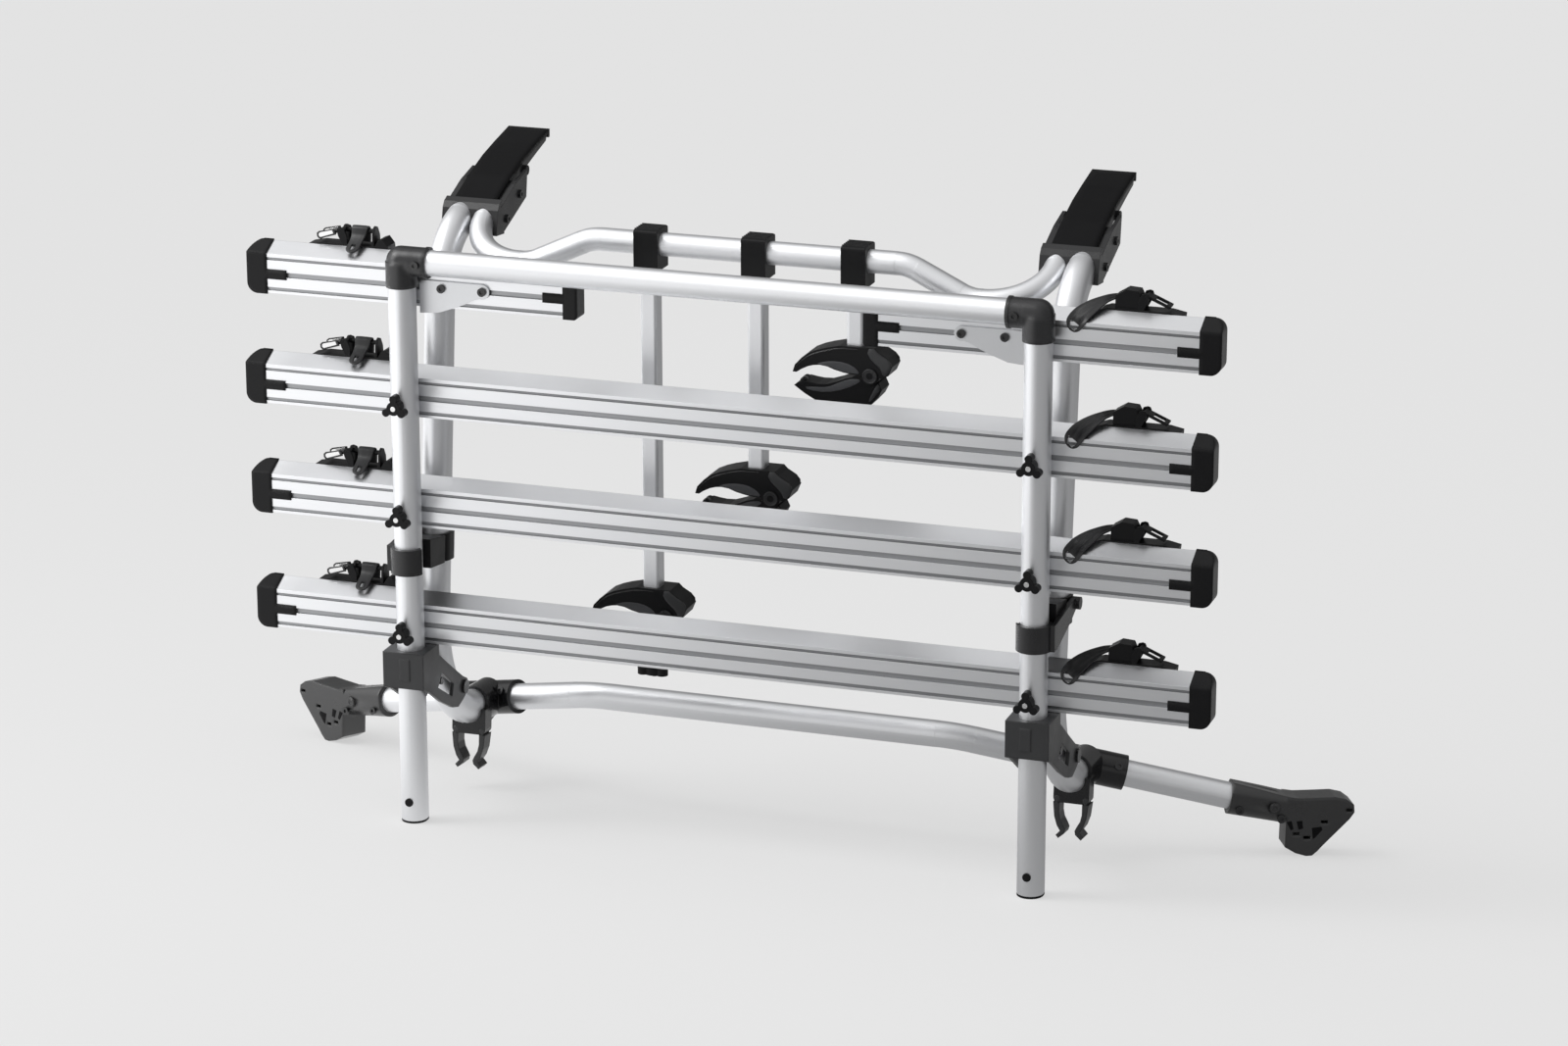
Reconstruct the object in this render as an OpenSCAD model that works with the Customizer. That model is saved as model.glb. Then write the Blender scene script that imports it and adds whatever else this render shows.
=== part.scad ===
// Tailgate bike rack for four bikes, standing with its platform folded up.
// Millimetres, +Z up, +Y towards the vehicle, origin at the middle of the lower bar's axis.

/* [Overall] */
// Forward lean of the folded-up platform
platform_lean = 6.5; // [6:0.1:7]
// Forward lean of the posts
frame_lean = 0.93; // [0.8:0.01:1.1]
// Half the distance between the two legs
leg_x = 415; // [405:1:430]
// Clearance of parts that turn on each other
run_gap = 0.05; // [0.03:0.01:0.08]
// Gap left between fixed parts that only touch
seat_gap = 0.02; // [0.01:0.01:0.05]

/* [Legs] */
// Width of a leg tube
leg_w = 34; // [32:0.5:34]
// Depth of a leg tube
leg_d = 38; // [36:0.5:38]
// Wall of the tubes
tube_t = 2; // [1.5:0.1:2.5]
// Distance of the leg axis in front of the reference plane
leg_y = -5.5; // [-6:0.5:-5]
// Height of the leg's lower end above the floor line
leg_z0 = 5.8; // [5.4:0.1:6.5]
// Top of the leg tube inside the elbow
leg_z1 = 731; // [728:1:732]
// Thickness of the foot cap's flange
cap_flange = 3; // [2:0.5:3]
// Depth of the foot cap's plug
cap_plug = 18; // [12:1:24]
// Height of the small plug in the leg's front
plug_z = 31.6; // [30:1:34]
// Radius of that plug's head
plug_r = 5.5; // [4:0.5:6]
// Height of that plug's head
plug_h = 1.6; // [1:0.2:2]
// Radius of the platform crossbar
cross_r = 16.5; // [16:0.5:16.5]
// Height of the platform crossbar
cross_z = 749; // [749:1:752]
// How far the platform crossbar ends short of a leg's axis
cross_inset = 18; // [18:1:22]

/* [Elbows] */
// Wall of the elbow
elbow_t = 2.5; // [2:0.5:3]
// Lower edge of the elbow
elbow_z = 716.5; // [714:0.5:720]
// Inner end of the elbow, from the leg's axis
elbow_in = 38; // [36:1:42]
// Screw's distance from the leg's axis
elbow_screw = 26; // [24:1:28]
// Width of the collar at the elbow's inner end
elbow_lip = 4; // [3:0.5:5]

/* [Screws] */
// Radius of a screw head
head_r = 5.5; // [5:0.5:6]
// Height of a screw head
head_h = 3; // [2:0.5:4]
// Radius of a screw's hexagon-like socket
socket_r = 2.4; // [2:0.2:3]
// Depth of that socket
socket_d = 1.8; // [1:0.2:2]
// Length of a short screw shank
shank_l = 6; // [4:1:8]
// Radius of a screw shank
shank_r = 2.5; // [2:0.5:3]

/* [Rails] */
// Height of groove 1 on the four rails
rail_z = [731.7, 585.7, 439.3, 283.4];
// Sideways shift of the three long rails
rail_shift = [0, -6.5, -3.6, -1.9];
// Half length of the rails without caps
rail_half = 610; // [600:1:620]
// Inner end of the split upper rail
rail_in = 205; // [195:1:215]
// Front face of the rails
rail_y = 13.55; // [13.55:0.01:14]
// Rear edge of the rails
rail_back = 37.7; // [36:0.1:39]
// Top edge above groove 1
rail_top = 18.4; // [17:0.1:20]
// Lower edge of the slanted face above groove 1
rail_slant = 6.5; // [6:0.1:7]
// Bottom of the rail below groove 1
rail_low = 44.9; // [44:0.1:46]
// Wall of the rail
rail_t = 2.4; // [2:0.1:2.6]
// Centre of the bolt slot below groove 1
slot_z = 20; // [19:0.5:21]
// Width of the bolt slot's mouth
slot_mouth = 6.8; // [6:0.1:8]
// Width inside the bolt slot
slot_w = 14.6; // [13:0.1:16]
// Depth inside the bolt slot
slot_d = 7.4; // [6:0.1:8]
// Width of groove 1
groove1_w = 3.6; // [3:0.1:4]
// Width of groove 2
groove2_w = 4.4; // [4:0.1:5]
// Centre of groove 2 below groove 1
groove2_z = 39.2; // [38:0.1:40]
// Depth of the grooves
groove_d = 1.6; // [1:0.1:2]
// Lip at the rail's open side
rail_lip = 4.5; // [3:0.5:6]

/* [Rail caps] */
// Length of an outer cap beyond the metal
cap_l = 26.5; // [24:0.5:28]
// How far a cap stands out round the rail
cap_over = 1.2; // [1:0.1:1.5]
// Rounding of the outer cap's corners
cap_round = 14; // [10:1:15]
// Length of a cap's tongue on the bolt slot
tongue_l = 28; // [24:1:30]
// Width of the tongue
tongue_w = 12.6; // [12:0.2:13.4]
// Thickness of the tongue
tongue_t = 1.3; // [1:0.1:1.4]
// Length of an inner cap beyond the metal
incap_l = 18; // [14:1:20]

/* [Gussets] */
// Thickness of the gusset plates
gusset_t = 3; // [2.5:0.1:3.2]
// Inner bolt's distance from the leg's axis
gusset_b2 = 101.7; // [100:0.1:104]
// Outer bolt's distance from the leg's axis
gusset_b1 = 46.7; // [45:0.1:48]
// Rounded end of the gusset
gusset_r = 9.5; // [9:0.1:10]

/* [Star knobs] */
// Reach of a knob's arm from the centre
star_reach = 12; // [11:0.5:13]
// Radius of an arm's end
star_arm_r = 5; // [4.5:0.1:5.5]
// Radius of the knob's middle
star_mid_r = 9; // [8:0.5:10]
// Thickness of the arms
star_h = 12; // [10:1:14]
// Length of the knob's neck to the leg
star_neck = 7; // [6:0.5:8]
// Radius of the neck
star_neck_r = 7; // [6:0.5:7.5]
// Radius of the knob's bolt
bolt_r = 3.3; // [3:0.1:3.3]
// How far the bolt's bright end stands out
bolt_end = 1.2; // [1:0.1:2]

/* [Hinge] */
// Pivot behind the reference plane, in the platform's own frame
hinge_y = 102; // [101:0.5:103]
// Pivot height in the platform's own frame
hinge_z = 152; // [151:0.5:153]
// Radius of the hinge pin
pin_r = 6; // [5:0.5:7]
// Radius of the pin's head
pin_head_r = 9; // [8:0.5:10]
// Height of the pin's head
pin_head_h = 3; // [2:0.5:4]
// Half width of the hinge bracket
hb_half = 28; // [27:0.5:29]
// Wall of the bracket's arms
hb_arm = 5; // [4.5:0.1:5]
// Front of the bracket
hb_front = -33; // [-34:0.5:-32]
// Upper and lower edge of the bracket's front
hb_top = 238; // [236:1:240]
// Lower edge of the bracket's front
hb_low = 190; // [188:1:192]
// Rear of the block round the leg
hb_back = 20; // [18:0.5:22]
// Size of the raised panel on the front
panel = [14, 29, 1];
// Radius of the bolt seen in the window
win_bolt_r = 5; // [4:0.5:5.5]

/* [Posts] */
// Width of a post tube
post_w = 35; // [34:0.5:35]
// Depth of a post tube
post_d = 45; // [43:0.5:45]
// Posts behind the reference plane
post_y = 50.6; // [50:0.1:51.5]
// Radius of a post's lower bend
low_bend = 150; // [148:1:152]
// Height of the post's lower run
low_run_z = 109; // [107:0.5:111]
// Height where the upper bend starts
up_start = 683; // [680:0.1:683]
// Radius of the upper bend
up_bend = 92; // [90:1:95]
// Rise of the tubes into the hooks
up_rise = 18; // [17:0.5:19]
// Length of tube inside the hook block
up_end = 11; // [9:1:11]

/* [Upper crossbar] */
// Radius of the upper crossbar
bar_r = 15; // [14:0.5:15]
// Height of the raised middle
bar_z = 771.6; // [768:0.1:775]
// Drop of the bar's ends
bar_drop = 38; // [36:0.5:40]
// Angle of the drop
bar_slope = 25; // [24:0.5:27]
// Radius of the drop's bends
bar_bend = 60; // [55:1:62]
// Radius of the end bends into the hooks
bar_end_bend = 75; // [74:0.5:76]
// Rise of those end bends
bar_end_rise = 31.8; // [31:0.1:33]
// Crossbar's end at the hook, inside the post's axis
bar_end_in = 33; // [33:0.5:35]
// Length of tube inside the hook block
bar_end_l = 14; // [12:1:14]

/* [Hooks] */
// Middle of a hook, inside the post's axis
hook_in = 15.5; // [15:0.1:16]
// Width of the hook plate
hook_w = 58; // [56:0.5:60]
// Width of the block that holds the tubes
block_w = 77; // [76:0.5:78]
// Wall of the cheeks
cheek_t = 5; // [4:0.5:6]
// Radius of the roller under the plate
roller_r = 6.5; // [6:0.5:7]
// How far the roller stands out of the plate
roller_out = 4; // [3:0.5:5]

/* [Lower bar] */
// Radius of the lower bar
low_r = 17.5; // [17:0.5:17.5]
// Lower bar behind the reference plane
low_y = 195.3; // [193:0.1:197]
// Height of the lower bar's middle
low_z = 139.9; // [138:0.1:142]
// Half length of the straight middle
low_half = 228; // [220:1:235]
// Bend radius of the lower bar
low_bar_bend = 120; // [110:1:130]
// Angle of the ends from the middle
low_angle = 22.4; // [22:0.1:23]
// Turn of the ends below the horizontal
low_turn = 30.6; // [30:0.1:31]
// Length of the straight ends
low_end = 400; // [395:1:405]

/* [Bar brackets] */
// Half length of the sleeve on the lower bar
sleeve_half = 48; // [44:1:50]
// Wall of the sleeve
sleeve_t = 5.5; // [5:0.5:6]
// Front of the bracket's socket
socket_y = 186; // [184:1:190]
// Wall of the socket round the post
socket_t = 4.5; // [4:0.5:5]
// Front of the leg clip
clip_y = 172; // [170:1:174]
// Thickness of the leg clip
clip_t = 23; // [20:1:24]
// Half width of the clip's crown
clip_half = 23.5; // [23:0.5:24]
// Underside of the crown
clip_z = 74; // [73.5:0.5:75]
// Clip arm's pivot, sideways
clip_px = 19; // [18.5:0.1:19.5]
// Clip arm's pivot height
clip_pz = 79; // [78:0.5:80]
// Radius of the clip arm's root
clip_root = 4.2; // [4:0.1:4.4]

/* [Feet] */
// Thickness of a foot
foot_w = 42; // [40:1:44]
// Wall at the sides of a foot's hollow heel
foot_wall = 4; // [3:0.5:4.5]
// Turn of the feet in plan
foot_turn = 24; // [23:0.5:25]
// Foot's end of the sleeve, sideways
foot_x = 598; // [596:1:600]

/* [Locks] */
// Height of the left and right lock on the leg
lock_z = [357, 342];
// Height of the lock's band
lock_h = 34; // [32:1:36]
// Thickness of the lock's band
lock_t = 5; // [4:0.5:5]
// Half width inside the lock's band
lock_in = 17.4; // [17.3:0.1:17.6]
// Radius of the lock's eye
lock_eye = 8; // [7:0.5:9]
// Thickness of the lock's lever
lock_lever_t = 6; // [5:0.5:6]
// Half width of the block on the post
base_half = 21.5; // [21:0.5:21.5]

/* [Bike holders] */
// Sideways place of the three arms
arm_x = [-130, 13, 144];
// Length from the crossbar to the jaw on the three arms
arm_l = [452, 279, 107];
// Width of an arm
arm_w = 22; // [21:0.5:23]
// Depth of an arm
arm_d = 24; // [23:0.5:25]
// Corner radius of an arm
arm_r = 4; // [3:0.5:5]
// Width of an arm's clamp
clamp_w = 32; // [31:0.5:34]
// Depth of an arm's clamp
clamp_d = 40; // [38:0.5:42]
// Top and bottom of the clamp round the bar
clamp_up = 20.5; // [19.5:0.5:21]
// Bottom of the clamp
clamp_low = 32; // [30:1:34]
// Half thickness of the upper jaw
jaw_half = 18; // [17:0.5:19]
// Half thickness of the lower jaw
jaw_low_half = 15.5; // [15:0.5:16]
// Half thickness of the lower jaw's hinge lug
lug_half = 10; // [9:0.5:11]
// Radius of the jaw's hinge boss
boss_r = 12; // [11:0.5:12]
// Radius of the jaw's hinge pin
jaw_pin_r = 4.5; // [4:0.5:5]
// Reach of the tightening knob's lobes
jk_reach = 15; // [14:0.5:16]
// Radius of a lobe
jk_lobe = 7.5; // [7:0.5:8]
// Thickness of the tightening knob
jk_h = 9; // [8:0.5:10]
// Radius of the tightening knob's bolt
jk_bolt = 4; // [3.5:0.5:4]

/* [Wheel straps] */
// Middle of the left and right buckles, inside the rail's end
buckle_in = [104, 86];
// Thickness of a short strap
strap_t = 2.8; // [2.5:0.1:3]
// Half width between the buckle's ears
cheek_in = 18.5; // [17:0.5:19]
// Length of a buckle's lever
lever_l = 31; // [28:1:33]
// Thickness of a buckle's lever
lever_t = 3.2; // [3:0.1:3.5]
// Radius of a lever's pin
lever_pin = 2; // [1.8:0.1:2.2]

/* [Hidden] */
$fn = 64;
eps = 0.01;

// Side outline of the hinge bracket's arm: depth and height in the platform's frame.
arm_side = [[-33, 238], [-8, 236], [20, 222], [45, 204], [75, 183], [97, 168], [112, 160], [114, 150],
    [108, 141], [97, 136], [80, 131], [62, 136], [25, 156], [-14, 182], [-33, 190]];
arm_window = [[28, 195], [66, 168], [60, 152], [14, 179]];
// Hook plate and cheek outlines: depth and height in the frame's own frame.
plate_side = [[119, 790], [121, 795.1], [174.2, 822.2], [220, 842], [261.5, 855.5], [311.1, 870.2],
    [311.7, 859.2], [306.2, 859.2], [304.8, 863.4], [259.8, 850.1], [217.8, 836.1], [171, 816.3]];
block_side = [[107, 757], [111, 785.5], [116, 791], [121, 793], [171, 815.8], [176, 818], [184, 800],
    [150, 771], [131, 757]];
rim_side = [[106, 755], [110, 787], [115, 795], [124, 800], [129, 790], [133, 755]];
cheek_side = [[107, 757], [111, 785.5], [121, 795], [171, 816], [210, 829], [208, 793.4], [131.3, 757]];
// Foot outline: distance along the foot and height above the bar's axis at the sleeve.
foot_side = [[-8, 22], [31, 13], [60, 6], [76, 4], [105, 5], [125, 6], [140, 3], [150, -4], [151, -14],
    [145, -23], [110, -60], [105, -66], [98, -72.2], [90, -72.7], [76, -69], [49, -54], [15, -36],
    [-15, -25]];
// Clip arm outline: sideways from the clip's middle and height.
clip_side = [[-23.4, 79], [-23.2, 72], [-21.3, 55], [-17.3, 43], [-13, 36.5], [-18.5, 30.5], [-15, 26.5],
    [-7.5, 33], [-6.3, 38], [-8.5, 43], [-13, 51], [-15, 60], [-15, 79]];
// Jaw outlines: sideways from the arm's axis and height from the jaw's top.
jaw_up_side = [[-79.5, -38.6], [-76.6, -29.3], [-68, -20], [-59.3, -13], [-48, -8], [-36.3, -4.3], [-18, 0],
    [28, 0], [33, -5], [45, -12], [50.8, -22.7], [46, -34], [38, -38], [10, -36], [-1.7, -35.8],
    [-12, -34.5], [-24.7, -31.6], [-34, -28.3], [-44.3, -27], [-52, -28], [-59.3, -30.1], [-68, -34.5],
    [-74.3, -38.8]];
jaw_low_side = [[-78.4, -56.7], [-65.1, -65.8], [-52, -73], [-38, -79], [-20, -86], [0, -88], [12, -84],
    [22, -75], [32, -64], [37, -54], [33, -45], [20, -40], [8, -41], [-1.7, -40], [-12, -43], [-22.4, -47.5],
    [-36.2, -52], [-48, -52.5], [-57, -51.5], [-66, -50], [-72, -51.5]];
boss = [22.3, -35.9];
// Places along an arm, below the jaw's top.
jk_z = -110;
jk_stub = 5;
jk_stub_h = 4;
jk_neck = 5.5;
jaw_bottom = -88;

// Small derived or fixed shape values.
post_reach = 45;
bend_thin = 0.3;
lap = 0.2;
bar_join = 3;
roller_y = 224.6;
roller_top = 832.3;
roller_z = roller_top - roller_r;
clip_cut = 9;
clip_room = 2;
clip_lip = 0.3;
clip_stem = 1.6;
foot_pitch = 9;
foot_swell = 2;
foot_body_r = foot_w / 2 + foot_swell;
foot_body_y = foot_w / 2;
foot_heel_x = 62;
foot_hollow = [[112, -50], [142, -16], [138, -8], [100, -8], [88, -40], [84, -62], [97, -65], [104, -58]];
foot_slots = [[112, -27], [90, -48], [76, -43], [144, -11]];
foot_slot = [9, 4];
foot_screws_at = [[0, -12], [55, -23]];
foot_screw_l = 3;
base_z = 356;
base_h = 36;
base_wall = 4;
base_side = [[-19, 340], [-22, 378], [28, 374], [28, 338]];
hook_screws = [[185.2, 800], [141, 773.3]];
sleeve_screw = 36;
elbow_bead = 1;
elbow_trim = 1;
star_z = [for (i = [1, 2, 3]) rail_z[i] - slot_z];
star_front = leg_y - leg_d / 2 - star_neck - star_h;
hb_edge = 6;
panel_x = -2;
panel_z = 215;
arm_end_r = 12;
win_y = 28;
win_z = 184;
gusset_up = 0.8;
gusset_over = 5;
gusset_z = rail_z[0] - slot_z + gusset_up;
gusset_side = [[leg_w / 2 + seat_gap, 722], [leg_w / 2 + seat_gap, 679], [43, 681], [66, 689.4],
    [78, 694.3], [92, 701.8], [gusset_b2 + gusset_over, 705], [gusset_b2, 722]];
cap_sleeve = 1;
nut_w = 14;
nut_t = 4;
lock_dy = 2;
lock_out = base_half + run_gap + lock_lever_t / 2;
lock_tip = [97, 15.5];
lever_side = [[-4, -lock_h / 2], [-4, lock_h / 2], [6, lock_h / 2], [88, 24], [97, 16], [92, 8], [66, -2],
    [8, -lock_h / 2]];
base_deep = 24;
cheek_w = 3;
// Buckle shapes: along the rail from the buckle's middle and height above groove 1.
lever_x = -12;
lever_y = 50;
lever_up = 19;
lever_z = rail_top + lever_up;
lever_tilt = 23;
lug_y = 11.5;
lug_t = 2.6;
base_side_b = [[-56, 7], [-57, 17], [-40, 20.5], [36, 20.5], [44, 18], [50, 14], [52, 7]];
hump_side = [[30, 7], [30, 20.5], [36, 20.5], [41, 29], [47, 31], [54, 22], [55.5, 7]];
lug_side = [[-8, 19], [-14, 30], [-16, 37], [-14.5, 40.5], [-11, 41.5], [-6, 40], [-2, 30], [-2, 19]];
ear_x = 13;
ear_pin = 3;
ear_side = [[40, 19], [41, 36], [44, 42], [49, 44.5], [54, 42.5], [60, 32], [61, 19]];
housing_side = [[-5, 19], [-4, 37], [-1, 43], [14, 44], [27, 36], [27, 19]];
tongue_half = 12.5;
tongue_side = [[46.7, 37.4], [43.7, 37.4], [41, 32.6], [39, 31], [22, 21.5], [21, 20.4], [21.6, 18.8],
    [23.5, 18.6], [42, 28.9], [45.6, 32]];
tongue_hole_y = 27;
tongue_hole_r = 3.6;
soft_gap = 0.35;
tail_t = 2.2;
tail_up = [[29, 59, 33], [44.9, 55, 30], [57.3, 48, 26], [67.2, 39, 22], [74.6, 28, 17.5], [79, 13.5, 11],
    [80, 9.5, 1]];
tail_low = [[29, 42, 30], [36.3, 36, 27], [43.6, 28, 20], [49.5, 20, 14.5], [54.5, 11, 8], [61.7, 8.8, -3.3],
    [67, 8.4, -8]];
arm_plug = 20;
arm_room = 4;
arm_top = bar_r + arm_room;
clamp_edge = 4;
clamp_rib = 1.4;
jaw_head = 2;
lug_room = 0.8;
jk_room = 12;

cross_out = cross_r + elbow_t;
slot_face = rail_y + rail_t;
slope_k = (rail_top - rail_slant) / (rail_back - rail_y);
// Wall of the slanted face, measured straight up.
rail_wall_k = rail_t * sqrt(1 + slope_k * slope_k);
cross_half = leg_x - cross_inset;
hook_x = leg_x - hook_in;
bar_end_x = leg_x - bar_end_in;
buckle_x = [buckle_in[0] - rail_half, rail_half - buckle_in[1]];
post_cz = low_run_z + low_bend;
post_cy = post_y + low_bend;
pivot_lean = platform_lean - frame_lean;
// The hinge pivot in the frame's own frame.
pivot_y = hinge_y * cos(pivot_lean) - hinge_z * sin(pivot_lean);
pivot_z = hinge_y * sin(pivot_lean) + hinge_z * cos(pivot_lean);
bar_level = (bar_drop - 2 * bar_bend * (1 - cos(bar_slope))) / sin(bar_slope);
bar_s_len = 2 * bar_bend * sin(bar_slope) + bar_level * cos(bar_slope);
bar_x2 = bar_end_x - bar_end_bend;
bar_x1 = bar_x2 - bar_s_len - bar_join;
ref_y = low_y * cos(frame_lean) - low_z * sin(frame_lean);
ref_z = low_y * sin(frame_lean) + low_z * cos(frame_lean);
low_lat = low_bar_bend * (1 - cos(low_angle));
low_run = low_bar_bend * sin(low_angle);
// Distance along the bar's straight end to the leg's plane and to the foot.
low_to_leg = (leg_x - low_half - low_run) / cos(low_angle);
low_to_foot = (foot_x - low_half - low_run) / cos(low_angle);
foot_lat = low_lat + low_to_foot * sin(low_angle);
foot_y = low_y + foot_lat * cos(low_turn);
foot_z = low_z - foot_lat * sin(low_turn);

module frame_side() {
    translate([0, -ref_y, -ref_z]) rotate([frame_lean, 0, 0]) children();
}

module platform_side() {
    translate([0, -ref_y, -ref_z]) rotate([platform_lean, 0, 0]) children();
}

module both() {
    children();
    mirror([1, 0, 0]) children();
}

// Draws a depth-height shape and pushes it along X from x0 over w.
module side_slab(x0, w) {
    translate([x0, 0, 0]) rotate([90, 0, 90]) linear_extrude(w) children();
}

// Draws a width-height shape and pushes it along Y from y0 over w.
module front_slab(y0, w) {
    translate([0, y0 + w, 0]) rotate([90, 0, 0]) linear_extrude(w) children();
}

module oval(w, d) {
    for (s = [-1, 1]) translate([0, s * (d - w) / 2]) circle(d = w);
    square([w, d - w], center = true);
}

module oval_ring(w, d, t) {
    difference() {
        oval(w, d);
        oval(w - 2 * t, d - 2 * t);
    }
}

module rounded(w, d, r) {
    square([w, d - 2 * r], center = true);
    square([w - 2 * r, d], center = true);
    for (sx = [-1, 1], sy = [-1, 1]) translate([sx * (w / 2 - r), sy * (d / 2 - r)]) circle(r);
}

module rod_x(r, x0, x1) {
    translate([x0, 0, 0]) rotate([0, 90, 0]) cylinder(r = r, h = x1 - x0);
}

module rod_y(r, y0, y1) {
    translate([0, y1, 0]) rotate([90, 0, 0]) cylinder(r = r, h = y1 - y0);
}

// A screw whose head stands out towards -Y from the plane y = 0.
module screw(l = shank_l) {
    difference() {
        rod_y(head_r, -head_h, 0);
        rod_y(socket_r, -head_h - eps, -head_h + socket_d);
    }
    rod_y(shank_r, -eps, l);
}

module post_shape(w, d) {
    rotate(90) oval(w, d);
}

// A bent run along +X that turns towards +Y. Each step has a straight length, a roll about the run,
// a bend's angle and its radius. Child 0 is the straight section, child 1 the slightly slimmer bend's.
module pipe(steps, i = 0, turned = 0) {
    step = steps[i];
    lap_in = i > 0 ? lap : 0;
    lap_out = step[2] > 0 ? lap : 0;
    if (step[0] > 0) translate([step[0] + lap_out, 0, 0]) rotate([90, 0, -90])
        linear_extrude(step[0] + lap_in + lap_out) rotate(turned) children(0);
    translate([step[0], 0, 0]) rotate([step[1], 0, 0]) {
        if (step[2] > 0) translate([0, step[3], 0]) rotate(-90) rotate_extrude(angle = step[2])
            translate([step[3], 0]) rotate(turned + step[1]) children(1);
        if (i < len(steps) - 1) translate([0, step[3], 0]) rotate(step[2]) translate([0, -step[3], 0])
            pipe(steps, i + 1, turned + step[1]) {
                children(0);
                children(1);
            }
    }
}

module pipe_oval(steps, w, d) {
    pipe(steps) {
        post_shape(w, d);
        post_shape(w - bend_thin, d - bend_thin);
    }
}

module pipe_round(steps, r) {
    pipe(steps) {
        circle(r);
        circle(r - bend_thin / 2);
    }
}

// A post as solids of the given section, in the plane of X = 0.
module post_solid(w, d, over) {
    translate([0, low_y + post_reach + over, low_run_z]) rotate([90, 0, -90])
        pipe_oval([[low_y + post_reach + over - post_cy, 0, 90, low_bend],
            [up_start - post_cz, 0, 90 - up_rise, up_bend], [up_end + over, 0, 0, 0]], w, d);
}

module post_low(w, d, over) {
    translate([0, low_y + post_reach + over, low_run_z]) rotate([90, 0, -90])
        pipe_oval([[low_y + post_reach + over - post_cy, 0, 90, low_bend]], w, d);
}

module post_mid(w, d) {
    translate([0, post_y, post_cz]) linear_extrude(up_start - post_cz) oval(w, d);
}

module post_top(w, d, over) {
    translate([0, post_y, up_start]) rotate([0, -90, 0])
        pipe_oval([[0, 0, 90 - up_rise, up_bend], [up_end + over, 0, 0, 0]], w, d);
}

module posts() color("silver") frame_side() both() difference() {
    translate([leg_x, 0, 0]) post_solid(post_w, post_d, 0);
    translate([leg_x, 0, 0]) post_solid(post_w - 2 * tube_t, post_d - 2 * tube_t, tube_t);
    translate([leg_x, pivot_y, pivot_z]) rod_x(pin_r + seat_gap, -post_w, post_w);
    at_bar_end() rod_x(low_r + seat_gap, 0, low_end);
}

// Half of the upper crossbar as a solid of radius r.
module upper_bar_half(r, over) {
    translate([0, post_y, bar_z]) rotate([-90, 0, 0])
        pipe_round([[bar_x1, 0, bar_slope, bar_bend], [bar_level, 180, bar_slope, bar_bend],
            [bar_join, bar_end_rise - 90, 90, bar_end_bend], [bar_end_l + over, 0, 0, 0]], r);
}

module upper_bar_end(r, over) {
    translate([bar_x2, post_y, bar_z - bar_drop]) rotate([bar_end_rise, 0, 0])
        pipe_round([[0, 0, 90, bar_end_bend], [bar_end_l + over, 0, 0, 0]], r);
}

module upper_crossbar() color("silver") frame_side() difference() {
    both() upper_bar_half(bar_r, 0);
    both() upper_bar_half(bar_r - tube_t, tube_t);
}

module hook_plates() color("dimgray") frame_side() both()
    side_slab(hook_x - hook_w / 2, hook_w) polygon(plate_side);

module hook_blocks() color("black") frame_side() both() difference() {
    union() {
        side_slab(hook_x - block_w / 2, block_w) difference() {
            union() {
                polygon(block_side);
                polygon(rim_side);
            }
            polygon(plate_side);
        }
        for (s = [0, 1]) side_slab(hook_x - block_w / 2 + s * (block_w - cheek_t), cheek_t)
            difference() {
                polygon(cheek_side);
                polygon(plate_side);
            }
    }
    translate([leg_x, 0, 0]) post_top(post_w + 2 * seat_gap, post_d + 2 * seat_gap, seat_gap);
    upper_bar_end(bar_r + seat_gap, seat_gap);
    for (p = hook_screws, s = [-1, 1]) translate([hook_x + s * block_w / 2, p[0], p[1]])
        rod_x(shank_r + seat_gap, -cheek_t, cheek_t);
}

module hook_rollers() color("black") frame_side() both() translate([hook_x, roller_y, roller_z])
    rod_x(roller_r, -hook_w / 2 - roller_out, hook_w / 2 + roller_out);

// Places children at the start of the bar's straight end, its axis along local X.
module at_bar_end() {
    translate([low_half, low_y, low_z]) rotate([-low_turn, 0, 0])
        translate([low_run, low_lat, 0]) rotate(low_angle) children();
}

module lower_bar_half(r, over) {
    translate([0, low_y, low_z])
        pipe_round([[low_half, -low_turn, low_angle, low_bar_bend], [low_end + over, 0, 0, 0]], r);
}

module lower_bar() color("silver") frame_side() difference() {
    both() lower_bar_half(low_r, 0);
    both() lower_bar_half(low_r - tube_t, tube_t);
}

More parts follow.
